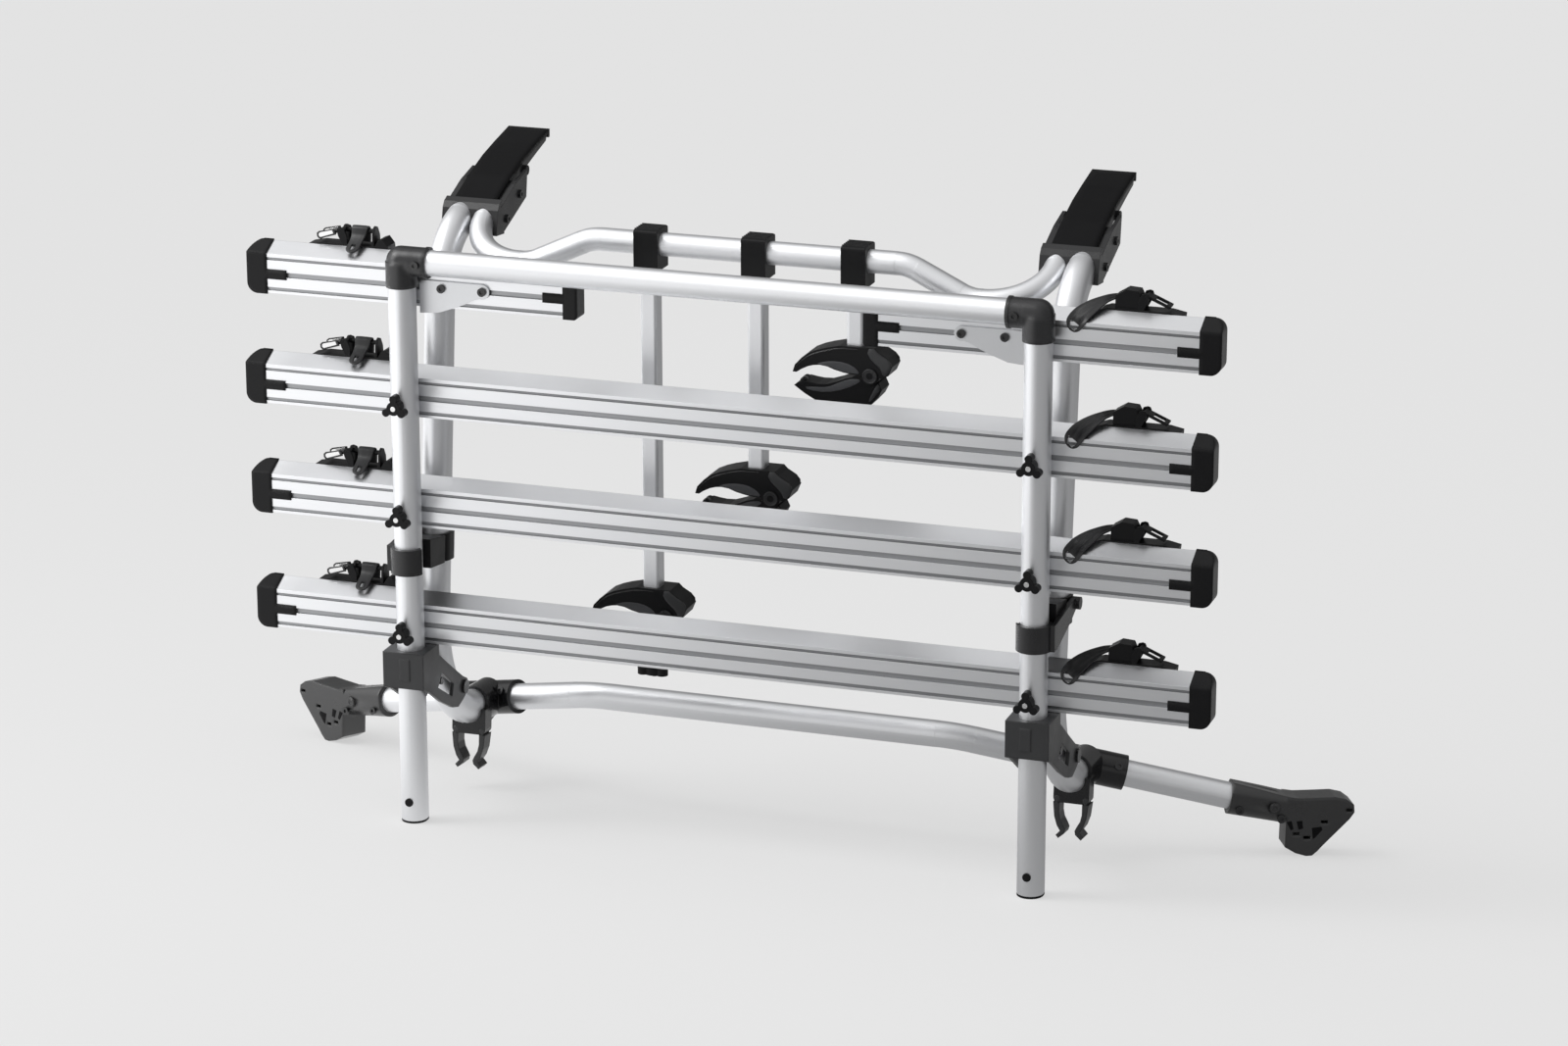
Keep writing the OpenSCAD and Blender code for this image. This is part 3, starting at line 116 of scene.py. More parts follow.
class Mat:
    """A node material with a mottled colour and roughness, a fine bump and rounded edges."""

    def __init__(self, name, metallic):
        self.mat = bpy.data.materials.new(name)
        self.mat.use_nodes = True
        self.tree = self.mat.node_tree
        self.bsdf = self.tree.nodes["Principled BSDF"]
        self.bsdf.inputs["Metallic"].default_value = metallic
        self.bsdf.inputs["IOR"].default_value = IOR
        self.coords = self.node("ShaderNodeTexCoord").outputs["Object"]

    def node(self, kind, **values):
        n = self.tree.nodes.new(kind)
        for key, value in values.items():
            setattr(n, key, value)
        return n

    def link(self, a, b):
        self.tree.links.new(a, b)

    def noise(self, scale, detail, stretch=(1, 1, 1)):
        mapping = self.node("ShaderNodeMapping")
        mapping.inputs["Scale"].default_value = stretch
        self.link(self.coords, mapping.inputs["Vector"])
        n = self.node("ShaderNodeTexNoise")
        n.inputs["Scale"].default_value = scale
        n.inputs["Detail"].default_value = detail
        n.inputs["Roughness"].default_value = NOISE_ROUGH
        self.link(mapping.outputs["Vector"], n.inputs["Vector"])
        return n.outputs["Fac"]

    def ramp(self, fac, low, high, span=NOISE_SPAN):
        r = self.node("ShaderNodeMapRange")
        r.inputs["From Min"].default_value = span[0]
        r.inputs["From Max"].default_value = span[1]
        r.inputs["To Min"].default_value = low
        r.inputs["To Max"].default_value = high
        self.link(fac, r.inputs["Value"])
        return r.outputs["Result"]

    def colour(self, fac, low, high, recess=None):
        """Mottles between two colours. A (reach, dark) pair paints shade into the colour: it darkens what lies
        within reach of a wall.
        """
        mix = self.node("ShaderNodeMix", data_type="RGBA")
        mix.inputs["A"].default_value = (*low, 1)
        mix.inputs["B"].default_value = (*high, 1)
        self.link(fac, mix.inputs["Factor"])
        result = mix.outputs["Result"]
        # Painted shade: the colour darkens where a wall lies near.
        if recess:
            reach, dark = recess
            near = self.node("ShaderNodeAmbientOcclusion", samples=SKY_SAMPLES, only_local=True)
            near.inputs["Distance"].default_value = reach
            shade = self.ramp(near.outputs["AO"], dark, 1.0, SKY_SPAN)
            dim = self.node("ShaderNodeMix", data_type="RGBA", blend_type="MULTIPLY")
            dim.inputs["Factor"].default_value = 1.0
            self.link(result, dim.inputs["A"])
            self.link(shade, dim.inputs["B"])
            result = dim.outputs["Result"]
        self.link(result, self.bsdf.inputs["Base Color"])

    def rough(self, fac, low, high):
        self.link(self.ramp(fac, low, high), self.bsdf.inputs["Roughness"])

    def bump(self, height, distance, strength, bevel):
        b = self.node("ShaderNodeBump")
        b.inputs["Distance"].default_value = distance
        b.inputs["Strength"].default_value = strength
        self.link(height, b.inputs["Height"])
        edge = self.node("ShaderNodeBevel", samples=EDGE_SAMPLES)
        edge.inputs["Radius"].default_value = bevel
        self.link(edge.outputs["Normal"], b.inputs["Normal"])
        self.link(b.outputs["Normal"], self.bsdf.inputs["Normal"])


METAL_GRAIN = 900
METAL_MOTTLE = 7
METAL_BUMP = 0.00002
METAL_STRENGTH = 0.2
PLASTIC_MOTTLE = 14
PLASTIC_SHEEN = 30
# Stretches of the grain: none, along X for the rails, along Z for the tubes.
EVEN = (1, 1, 1)
ALONG_X = (0.03, 1, 1)
ALONG_Z = (1, 1, 0.2)


def aluminium(name, low, high, rough, stretch, bevel, recess=None):
    m = Mat(name, 1.0)
    grain = m.noise(METAL_GRAIN, FINE, stretch)
    m.colour(m.noise(METAL_MOTTLE, FINE), low, high, recess)
    m.rough(grain, *rough)
    m.bump(grain, METAL_BUMP, METAL_STRENGTH, bevel)
    return m.mat


def plastic(name, low, high, rough, grain=900, height=0.0001, strength=0.3, bevel=0.0012, shine=0.3):
    m = Mat(name, 0.0)
    m.bsdf.inputs["Specular IOR Level"].default_value = shine
    m.colour(m.noise(PLASTIC_MOTTLE, BROAD), low, high)
    fine = m.noise(grain, FINE)
    m.rough(m.noise(PLASTIC_SHEEN, BROAD), *rough)
    m.bump(fine, height, strength, bevel)
    return m.mat


TUBE = aluminium("tube_satin", (0.77, 0.78, 0.80), (0.81, 0.815, 0.83), (0.41, 0.47), ALONG_Z, 0.0008)
# The rails get painted shade in their grooves and corners.
RAIL = aluminium("rail_satin", (0.76, 0.77, 0.79), (0.80, 0.805, 0.82), (0.30, 0.38), ALONG_X, 0.0004,
                 recess=(0.004, 0.22))
PLATE = aluminium("gusset_satin", (0.62, 0.63, 0.645), (0.68, 0.685, 0.70), (0.36, 0.44), EVEN, 0.0006)
# Bright zinc for the knob bolts, and for the levers' plates that paint their glint.
ZINC_AND_GLINT = aluminium("zinc_bright_and_lever_glint", (0.66, 0.66, 0.66), (0.82, 0.82, 0.82), (0.16, 0.30), EVEN, 0.0004)
# Darker aluminium for strips in the rails' slot and grooves: painted shade.
RECESS_SHADE = aluminium("rail_recess_shade", (0.29, 0.295, 0.305), (0.35, 0.355, 0.365), (0.34, 0.44), ALONG_X, 0.0004)
BLACK = plastic("black_grained", (0.003, 0.003, 0.0035), (0.007, 0.007, 0.0075), (0.30, 0.42), shine=0.17)
SATIN = plastic("black_satin", (0.008, 0.008, 0.009), (0.014, 0.014, 0.015), (0.24, 0.34), shine=0.5)
RUBBER = plastic("foot_rubber", (0.007, 0.007, 0.0075), (0.014, 0.014, 0.015), (0.26, 0.36),
                 grain=700, strength=0.4, bevel=0.006, shine=0.8)
GLOSS = plastic("black_gloss", (0.004, 0.004, 0.0045), (0.008, 0.008, 0.009), (0.16, 0.26),
                grain=500, height=0.00005, strength=0.15, bevel=0.0015, shine=0.45)
GREY = plastic("pad_grey", (0.040, 0.041, 0.044), (0.062, 0.063, 0.067), (0.45, 0.6),
               grain=1400, height=0.0002, strength=0.4)
CAST = plastic("cast_dark_grey", (0.018, 0.0185, 0.0195), (0.030, 0.0305, 0.032), (0.30, 0.42),
               grain=700, bevel=0.003, shine=0.45)
# Coated steel for the hook plates; also dark patches on the feet, painted shade in their pockets.
STEEL_AND_POCKET_SHADE = plastic("coated_steel_and_pocket_shade", (0.003, 0.003, 0.0035), (0.006, 0.006, 0.0065), (0.3, 0.42),
                grain=1200, strength=0.25, bevel=0.012, shine=0.08)
ELBOW = plastic("elbow_satin", (0.008, 0.008, 0.009), (0.013, 0.013, 0.0145), (0.22, 0.3), bevel=0.007, shine=0.6)
CAP = plastic("cap_satin", (0.003, 0.003, 0.0035), (0.006, 0.006, 0.0065), (0.2, 0.28), bevel=0.006, shine=0.2)
DARK = plastic("screw_black", (0.006, 0.006, 0.0065), (0.012, 0.012, 0.013), (0.18, 0.3),
               grain=1500, height=0.00005, strength=0.2, bevel=0.0004, shine=0.6)
STRAP = plastic("strap_rubber", (0.007, 0.007, 0.0075), (0.014, 0.014, 0.015), (0.32, 0.44),
                grain=1800, bevel=0.0003, shine=0.4)

# The nodes that aren't plain black.
FINISH = {
    "posts": TUBE, "upper_crossbar": TUBE, "lower_bar": TUBE, "legs": TUBE, "platform_crossbar": TUBE,
    "arm_1": TUBE, "arm_2": TUBE, "arm_3": TUBE, "upper_rails": RAIL, "long_rails": RAIL, "gussets": PLATE,
    "hook_plates": STEEL_AND_POCKET_SHADE, "hook_blocks": SATIN, "bar_brackets": GLOSS, "hinge_pins": DARK, "feet": RUBBER,
    "frame_screws": DARK, "elbows": ELBOW, "hinge_brackets": CAST, "platform_screws": DARK,
    "outer_caps": CAP, "inner_caps": CAP, "knob_bolts": ZINC_AND_GLINT, "wheel_straps": STRAP,
    "lock_hook_left": SATIN, "lock_hook_right": SATIN,
}
for name, obj in nodes.items():
    finish = CAST if name.startswith("clip_arm") else FINISH.get(name, BLACK)
    obj.data.materials.clear()
    obj.data.materials.append(finish)


# ---- mesh helpers ----
EDGE_SEGMENTS = 3
EDGE_ANGLE = math.radians(35)
SHARP_ANGLE = math.radians(38)
SIDES = ((-1, "left"), (1, "right"))


def piece(name, points, faces, material, body, bevel=0.0):
    """Makes a piece from points in metres and lets it ride."""
    mesh = bpy.data.meshes.new(name)
    mesh.from_pydata([tuple(p) for p in points], [], faces)
    mesh.update()
    obj = bpy.data.objects.new(name, mesh)
    scene.collection.objects.link(obj)
    mesh.materials.append(material)
    if bevel > 0:
        mod = obj.modifiers.new("edge", "BEVEL")
        mod.width = bevel
        mod.segments = EDGE_SEGMENTS
        mod.limit_method = "ANGLE"
        mod.angle_limit = EDGE_ANGLE
    mesh.shade_smooth()
    mesh.set_sharp_from_angle(angle=SHARP_ANGLE)
    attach(obj, body)
    return obj


def prism(outline, w0, w1, place):
    """An outline of (a, b) pushed from w0 to w1; place(a, w, b) gives the point."""
    n = len(outline)
    points = [place(a, w0, b) for a, b in outline] + [place(a, w1, b) for a, b in outline]
    faces = [tuple(range(n)), tuple(range(2 * n - 1, n - 1, -1))]
    faces += [(i, n + i, n + (i + 1) % n, (i + 1) % n) for i in range(n)]
    return points, faces


def joined(parts):
    """Puts pairs of points and faces together into one pair."""
    points, faces = [], []
    for more, theirs in parts:
        faces += [tuple(len(points) + v for v in f) for f in theirs]
        points += more
    return points, faces


def turned(faces, flip):
    """The same faces, seen from their other side where flip is true."""
    return [f[::-1] for f in faces] if flip else faces


def loops(base, rows, count):
    """Quads between rows of closed loops, each of count points, from point base on."""
    faces = []
    for row in range(rows - 1):
        for k in range(count):
            a = base + row * count + k
            b = base + row * count + (k + 1) % count
            faces.append((a, b, b + count, a + count))
    return faces


def spline(points, count):
    """Evenly counted points on a Catmull-Rom curve through tuples."""
    ext = [points[0]] + list(points) + [points[-1]]
    out = []
    for k in range(count):
        t = k / (count - 1) * (len(points) - 1)
        i = min(int(t), len(points) - 2)
        u = t - i
        p = ext[i:i + 4]
        out.append(tuple(0.5 * (2 * p[1][d] + (p[2][d] - p[0][d]) * u
                                + (2 * p[0][d] - 5 * p[1][d] + 4 * p[2][d] - p[3][d]) * u * u
                                + (3 * p[1][d] - p[0][d] - 3 * p[2][d] + p[3][d]) * u ** 3)
                         for d in range(len(points[0]))))
    return out


def ring(cx, cy, r, count):
    step = 2 * math.pi / count
    return [(cx + r * math.cos(k * step), cy + r * math.sin(k * step)) for k in range(count)]


def middle(outline):
    n = len(outline)
    return sum(p[0] for p in outline) / n, sum(p[1] for p in outline) / n


# ---- straps ----
RAIL_Z = [731.7, 585.7, 439.3, 283.4]
BUCKLE_X = [-506.0, 524.0]
RAILS = range(4)


def at_buckle(i, side):
    """Places points of rail i's buckle: the left one for side 0, the right one, mirrored, for side 1."""
    flip = -1 if side else 1
    return lambda x, y, z: on_platform(BUCKLE_X[side] + flip * x, y, RAIL_Z[i] + z)


def share(k, start, span):
    """How far k is through the span from start on, from 0 to 1."""
    return min(max((k - start) / span, 0), 1)


def round_end(left, least):
    """How wide a round end is, as left goes from 1 to 0."""
    return math.sqrt(max(1 - (1 - min(left, 1)) ** 2, least))


def ribbon_faces(rows, cols, hole):
    """Two layers of rows by cols points, joined round their edges and round a hole in them."""
    r0, r1, c0, c1 = hole
    layer = rows * cols
    faces = []

    def wall(a, b):
        faces.append((a, b, layer + b, layer + a))

    for k in range(rows - 1):
        for c in range(cols - 1):
            if r0 <= k < r1 and c0 <= c < c1:
                continue
            a = k * cols + c
            faces.append((a, a + 1, a + cols + 1, a + cols))
            faces.append((layer + a, layer + a + cols, layer + a + cols + 1, layer + a + 1))
    for k in range(rows - 1):
        wall(k * cols, (k + 1) * cols)
        wall((k + 1) * cols + cols - 1, k * cols + cols - 1)
    for c in range(cols - 1):
        wall(c + 1, c)
        wall((rows - 1) * cols + c, (rows - 1) * cols + c + 1)
    for k in range(r0, r1):
        wall(k * cols + c0, (k + 1) * cols + c0)
        wall((k + 1) * cols + c1, k * cols + c1)
    for c in range(c0, c1):
        wall(r0 * cols + c + 1, r0 * cols + c)
        wall(r1 * cols + c, r1 * cols + c + 1)
    return faces


# The left straps' ends: where their middle runs (y, z), and their size. Rows run along a strap, columns across.
TONGUE = [(53.6, 22.0), (54.6, 27.0), (55.0, 33.0), (54.7, 37.6), (53.2, 41.2), (50.0, 42.5), (46.8, 41.0),
          (45.2, 37.4), (43.3, 33.0), (40.2, 29.4), (35.0, 25.4), (29.0, 21.6), (23.4, 18.2), (18.6, 15.4)]
TONGUE_X = 13.0
TONGUE_T = 1.35
TONGUE_HALF = 11.6
TONGUE_ROWS = 64
TONGUE_COLS = 13
TONGUE_HOLE = (52, 59, 4, 8)
TONGUE_ROUND = 8
TONGUE_LEAST = 0.02
# How much a tongue narrows, and how far it slants aside: the amount, the first row and the rows it takes.
TONGUE_TAPER = (2.6, 26, 22)
TONGUE_ASIDE = (-2.2, 30, 30)
TONGUE_EDGE = 0.75
TONGUE_GROOVE = 0.86


def strap_tongue(i):
    """Short strap end: over the roller, down the slanted face, with a hole near its round end."""
    place = at_buckle(i, 0)
    line = spline(TONGUE, TONGUE_ROWS)
    last = TONGUE_ROWS - 1
    points = []
    for side in (1, -1):
        for k, (y, z) in enumerate(line):
            a, b = line[max(k - 1, 0)], line[min(k + 1, last)]
            ty, tz = b[0] - a[0], b[1] - a[1]
            size = math.hypot(ty, tz)
            ny, nz = tz / size, -ty / size
            half = TONGUE_HALF - TONGUE_TAPER[0] * share(k, *TONGUE_TAPER[1:])
            half *= round_end((last - k) / TONGUE_ROUND, TONGUE_LEAST)
            aside = TONGUE_ASIDE[0] * share(k, *TONGUE_ASIDE[1:])
            for c in range(TONGUE_COLS):
                u = 2 * c / (TONGUE_COLS - 1) - 1
                edge = TONGUE_EDGE if abs(u) > 0.95 else 1.0
                groove = TONGUE_GROOVE if 0.6 < abs(u) < 0.85 else 1.0
                t = side * TONGUE_T * edge * groove
                points.append(place(TONGUE_X + aside + half * u, y + ny * t, z + nz * t))
    faces = ribbon_faces(TONGUE_ROWS, TONGUE_COLS, TONGUE_HOLE)
    obj = piece("strap_tongue_%d" % (i + 1), points, faces, STRAP, "platform")
    mod = obj.modifiers.new("round", "SUBSURF")
    mod.levels = 1
    mod.render_levels = 1
    return obj


# The right straps' ends: their upper and lower edges (x, y, z), and their size.
TAIL_UP = [(27, 60, 33.6), (36, 57.8, 32.6), (44.9, 55, 30.4), (57.3, 48, 26.6), (67.2, 39, 22.4),
           (74.6, 28, 17.6), (79, 14.5, 11.2), (80.2, 9.7, 1)]
TAIL_LOW = [(27, 43, 31.6), (32, 39.5, 29.6), (36.3, 36, 27.2), (43.6, 28, 20.6), (49.5, 20, 14.8),
            (54.5, 12.2, 8.6), (60.0, 9.4, -0.5), (67, 9.2, -8)]
TAIL_T = 1.0
TAIL_ROWS = 121
TAIL_COLS = 11
TAIL_HOLE = (101, 115, 2, 8)
TAIL_ROUND = 14
TAIL_LEAST = 0.03
# The rows that have ribs, with how thick the strap is between them, and the rows with teeth and their depth.
TAIL_RIBBED = range(6, 100)
TAIL_THIN = 0.45
TAIL_TOOTHED = range(0, 97)
TAIL_TOOTH = 0.55
TAIL_EDGE = 0.8


def strap_tail(i):
    """Long strap end: a ribbed ribbon with fine teeth on its lower edge and a slot near its end."""
    place = at_buckle(i, 1)
    ups, lows = spline(TAIL_UP, TAIL_ROWS), spline(TAIL_LOW, TAIL_ROWS)
    last = TAIL_ROWS - 1
    points = []
    for side in (1, -1):
        for k in range(TAIL_ROWS):
            up, low = Vector(ups[k]), Vector(lows[k])
            a, b = max(k - 1, 0), min(k + 1, last)
            along = (Vector(ups[b]) + Vector(lows[b]) - Vector(ups[a]) - Vector(lows[a])).normalized()
            across = (up - low).normalized()
            out = across.cross(along).normalized()
            if out.z - out.y < 0:
                out = -out
            mid = (up + low) / 2
            half = (up - low).length / 2 * round_end((last - k) / TAIL_ROUND, TAIL_LEAST)
            rib = TAIL_THIN if k % 2 and k in TAIL_RIBBED else 1.0
            tooth = TAIL_TOOTH if k % 2 == 0 and k in TAIL_TOOTHED else 0.0
            for c in range(TAIL_COLS):
                u = 2 * c / (TAIL_COLS - 1) - 1
                t = TAIL_T
                if side > 0 and 0.1 < abs(u) < 0.75:
                    t *= rib
                if abs(u) > 0.9:
                    t *= TAIL_EDGE
                shift = -tooth if c == 0 else 0.0
                p = mid + across * (half * u + shift) + out * (t * side)
                points.append(place(*p))
    faces = ribbon_faces(TAIL_ROWS, TAIL_COLS, TAIL_HOLE)
    return piece("strap_tail_%d" % (i + 1), points, faces, STRAP, "platform")


# ---- rails: dark strips in the bottoms of their slot and grooves, painted shade ----
RAIL_Y = 13.55
RAIL_HALF = 610.0
RAIL_IN = 205.0
RAIL_SHIFT = [0.0, -6.5, -3.6, -1.9]
# Each recess of a rail: the heights of its two edges, and how far behind the rail's face each edge lies.
RECESSES = [((0.9, -1.7), 0.5, 1.2), ((-16.7, -23.3), 2.7, 2.7), ((-37.0, -41.2), 0.5, 1.4)]
RECESS_HOLLOW = 0.15
RECESS_T = 0.4
RECESS_CUTS = 8
RECESS_CORNERS = 5


# Dark strips along rail i's slot and grooves, painted shade.
def rail_recess_shade(i, x0, x1, label):
    points, faces = [], []
    n = RECESS_CORNERS
    for (top, low), y_top, y_low in RECESSES:
        base = len(points)
        back = y_low + RECESS_T
        section = ((top, y_top), ((top + low) / 2, (y_top + y_low) / 2 + RECESS_HOLLOW), (low, y_low),
                   (low, back), (top, back))
        for k in range(RECESS_CUTS + 1):
            x = x0 + (x1 - x0) * k / RECESS_CUTS
            points += [on_platform(x, RAIL_Y + y, RAIL_Z[i] + z) for z, y in section]
        faces += loops(base, RECESS_CUTS + 1, n)
        faces.append(tuple(base + j for j in range(n - 1, -1, -1)))
        faces.append(tuple(base + RECESS_CUTS * n + j for j in range(n)))
    return piece("rail_recess_shade_" + label, points, faces, RECESS_SHADE, "platform")


rail_recess_shade(0, -RAIL_HALF, -RAIL_IN, "1_left")
rail_recess_shade(0, RAIL_IN, RAIL_HALF, "1_right")
for i in RAILS[1:]:
    rail_recess_shade(i, -RAIL_HALF + RAIL_SHIFT[i], RAIL_HALF + RAIL_SHIFT[i], str(i + 1))

straps = [strap_tongue(i) for i in RAILS] + [strap_tail(i) for i in RAILS]
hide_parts("wheel_straps")

# ---- left buckles' levers: a dark ring on both sides, and within it a bright plate, a painted highlight ----
LEVER_AT = (-12.0, 50.0, 37.4)
LEVER_TILT = math.radians(23)
RING_OUT = [(-7.0, 4.4), (-28.0, 8.8), (-31.6, 7.6), (-33.0, 3.4), (-31.5, -0.6), (-7.0, -3.2)]
RING_IN = (0.80, 0.62)
RING_Y = (9.0, 10.9)
GLINT_Y = (9.0, 10.0)
RING_EDGE = 0.0004


def lever_ring(i):
    c, s = math.cos(LEVER_TILT), math.sin(LEVER_TILT)
    put = at_buckle(i, 0)

    def place(x, y, z):
        return put(LEVER_AT[0] + x * c - z * s, LEVER_AT[1] + y, LEVER_AT[2] + x * s + z * c)

    n = len(RING_OUT)
    cx, cz = middle(RING_OUT)
    inner = [(cx + (x - cx) * RING_IN[0], cz + (z - cz) * RING_IN[1]) for x, z in RING_OUT]
    points, faces, shine, fills = [], [], [], []
    for side in (-1, 1):
        base = len(points)
        for y in RING_Y:
            points += [place(x, side * y, z) for x, z in RING_OUT]
            points += [place(x, side * y, z) for x, z in inner]
        out0, in0, out1, in1 = base, base + n, base + 2 * n, base + 3 * n
        for j in range(n):
            m = (j + 1) % n
            quads = [(out0 + j, out0 + m, out1 + m, out1 + j), (in0 + m, in0 + j, in1 + j, in1 + m),
                     (out1 + j, out1 + m, in1 + m, in1 + j), (out0 + m, out0 + j, in0 + j, in0 + m)]
            faces += turned(quads, side > 0)
        # A bright zinc plate within the ring: a painted highlight.
        start = len(shine)
        for y in GLINT_Y:
            shine += [place(x, side * y, z) for x, z in inner]
        caps = [tuple(start + j for j in range(n - 1, -1, -1)), tuple(start + n + j for j in range(n))]
        fills += turned(caps + loops(start, 2, n), side > 0)
    k = 2 * i + 1
    piece("lever_ring_%d" % k, points, faces, SATIN, "lever_%d" % k, RING_EDGE)
    piece("lever_inlay_%d" % k, shine, fills, ZINC_AND_GLINT, "lever_%d" % k)


for i in RAILS:
    lever_ring(i)

# ---- hooks: skirts along the plates' edges ----
HOOK_X = 399.5
HOOK_HALF = 29.0
SKIRT_IN = 0.3
SKIRT_T = 3.2
SKIRT_EDGE = 0.0012
# Outline (y, z) of a skirt in the leaning frame.
SKIRT = [(128.0, 796.0), (171.0, 816.6), (217.8, 836.6), (259.8, 850.6), (303.0, 863.4), (300.0, 855.0),
         (262.0, 841.0), (224.0, 826.0), (186.0, 809.0), (150.0, 792.0), (131.0, 784.0)]


def hook_skirt(flip, label):
    parts = []
    for edge in (-1, 1):
        x0 = HOOK_X + edge * (HOOK_HALF - SKIRT_IN)
        x1 = x0 - edge * SKIRT_T
        parts.append(prism(SKIRT, x0, x1, lambda y, x, z: on_frame(flip * x, y, z)))
    points, faces = joined(parts)
    piece("hook_skirt_" + label, points, faces, SATIN, "frame", SKIRT_EDGE)


for flip, label in SIDES:
    hook_skirt(flip, label)

# ---- feet: a boss, and dark patches painted as the shade in the pockets between the heel's ribs ----
FOOT_AT = Vector((0.598, 0.1240, -0.0706))
FOOT_TURN = math.radians(24)
FOOT_FRONT = -21.0
BOSS = (46.5, -9.3)
BOSS_COUNT = 36
# Radius and height of each ring of the boss.
BOSS_RINGS = [(7.6, -0.8), (7.6, 0.5), (6.8, 1.2), (3.4, 1.2), (3.0, 0.5), (0.5, 0.4)]
POCKETS = [[(62.5, -27.5), (69.0, -26.0), (72.0, -37.0), (68.5, -38.5)],
           [(75.5, -26.5), (83.0, -25.5), (84.5, -36.0), (78.5, -37.5)],
           [(96.0, -35.0), (108.5, -33.5), (110.0, -37.5), (101.0, -48.0), (98.0, -50.0)]]
POCKET_SUNK = 0.6
POCKET_PROUD = 0.25


def at_foot(flip):
    """Places points along the foot's own axes: x along it, y from front to back, z up."""
    c, s = math.cos(FOOT_TURN), math.sin(FOOT_TURN)

    def place(x, y, z):
        across, deep = x * c - y * s, x * s + y * c
        p = FOOT_AT + Vector((across, *tilted(deep, z, FRAME_LEAN))) * MM
        return Vector((flip * p.x, p.y, p.z))

    return place


def foot_boss(flip, label):
    place = at_foot(flip)
    n = BOSS_COUNT
    points = [place(x, FOOT_FRONT - h, z) for r, h in BOSS_RINGS for x, z in ring(*BOSS, r, n)]
    faces = loops(0, len(BOSS_RINGS), n)
    faces += [tuple(range(n - 1, -1, -1)), tuple(len(points) - n + k for k in range(n))]
    piece("foot_boss_" + label, points, turned(faces, flip < 0), RUBBER, "frame")


# Dark patches over each foot's pockets: painted shade.
def foot_pocket_shade(flip, label):
    place = at_foot(flip)
    points, faces = joined(prism(outline, FOOT_FRONT + POCKET_SUNK, FOOT_FRONT - POCKET_PROUD, place)
                           for outline in POCKETS)
    piece("foot_pocket_shade_" + label, points, faces, STEEL_AND_POCKET_SHADE, "frame")


for flip, label in SIDES:
    foot_boss(flip, label)
    foot_pocket_shade(flip, label)

# ---- bike holders: pads, wings and small parts of their jaws ----
HOLDERS = range(3)
ARM_X = [-130.0, 13.0, 144.0]
ARM_L = [452.0, 279.0, 107.0]
ARM_AT = on_frame(0, 50.6, 771.6)
# Outlines (x, z) from the end of the holder's arm.
UPPER_PAD = [(-47, -25.6), (-40, -23.0), (-34, -21.6), (-25.3, -20.7), (-16.1, -20.8), (-6.9, -22.4),
             (0.5, -25.6), (5.5, -29.2), (8.2, -33.0), (6.5, -34.8), (2.3, -34.4), (-5.8, -34.2),
             (-13.8, -33.0), (-22, -31.2), (-30, -28.8), (-40, -27.2)]
LOWER_PAD = [(-62.9, -57.6), (-52.5, -57.4), (-39.9, -56.4), (-30.6, -54.0), (-21.4, -49.6), (-12.3, -45.4),
             (-3.1, -42.4), (5.0, -41.8), (8.4, -42.6), (8.2, -45.0), (2.7, -49.0), (-6.5, -53.6),
             (-16.8, -57.9), (-29.5, -61.3), (-42.2, -62.5), (-53.7, -61.8), (-61.8, -60.1)]
WING = [(20.5, -0.8), (27.6, -0.6), (32.4, -4.8), (38.0, -8.6), (44.6, -12.0), (49.6, -18.0), (50.0, -23.4),
        (47.0, -29.6), (43.0, -34.6), (38.9, -33.6), (37.2, -28.9), (34.3, -24.7), (28.5, -19.6),
        (22.2, -13.3), (18.8, -6.9)]
HEEL = [(31.6, -46.0), (34.6, -49.6), (33.8, -55.2), (28.6, -62.0), (22.6, -69.0), (19.6, -70.4),
        (22.6, -62.0), (27.6, -52.0)]
UPPER_HALF = 18.0
LOWER_HALF = 15.5
# Rows of a crowned pad, from its foot in the jaw to its top: the outline's scale and the height.
PAD_H = 0.9
PAD_ROWS = ((1.0, -1.0), (1.0, PAD_H * 0.45), (0.93, PAD_H * 0.85), (0.72, PAD_H))
# Radius and height of each ring: of the cover on the jaws' pin, and of the roller at the lower jaw's tip.
PIN_AT = (22.3, -35.9)
PIN_COUNT = 40
PIN_RINGS = [(9.6, 1.9), (9.4, 2.5), (8.2, 2.6), (7.8, 2.1), (4.6, 2.1), (4.3, 1.3), (2.4, 1.2), (2.0, 1.9),
             (0.6, 2.0)]
TIP_AT = (-68.0, -52.6)
TIP_COUNT = 28
TIP_RINGS = [(0.4, -9.0), (4.0, -9.0), (5.0, -8.0), (5.2, -4.0), (4.6, -2.0), (4.6, 2.0), (5.2, 4.0),
             (5.0, 8.0), (4.0, 9.0), (0.4, 9.0)]
# The raised line along the upper jaw's back, and its section: height along z and height above the side.
RIDGE = [(-74.6, -29.6), (-66.4, -21.2), (-57.6, -14.6), (-46.6, -9.8), (-35.2, -6.2), (-18.0, -2.2), (6.0, -1.6)]
RIDGE_ROWS = 40
RIDGE_DROP = 1.4
RIDGE_SECTION = ((1.3, -0.6), (0.9, 0.5), (-0.5, 0.7), (-1.1, -0.6))
RIDGE_ENDS = 0.45


def at_jaw(i):
    """Places points of holder i's jaws, from the end of its arm."""
    def place(x, y, z):
        return ARM_AT + Vector((ARM_X[i] + x, *tilted(y, z - ARM_L[i], PLATFORM_LEAN))) * MM

    return place


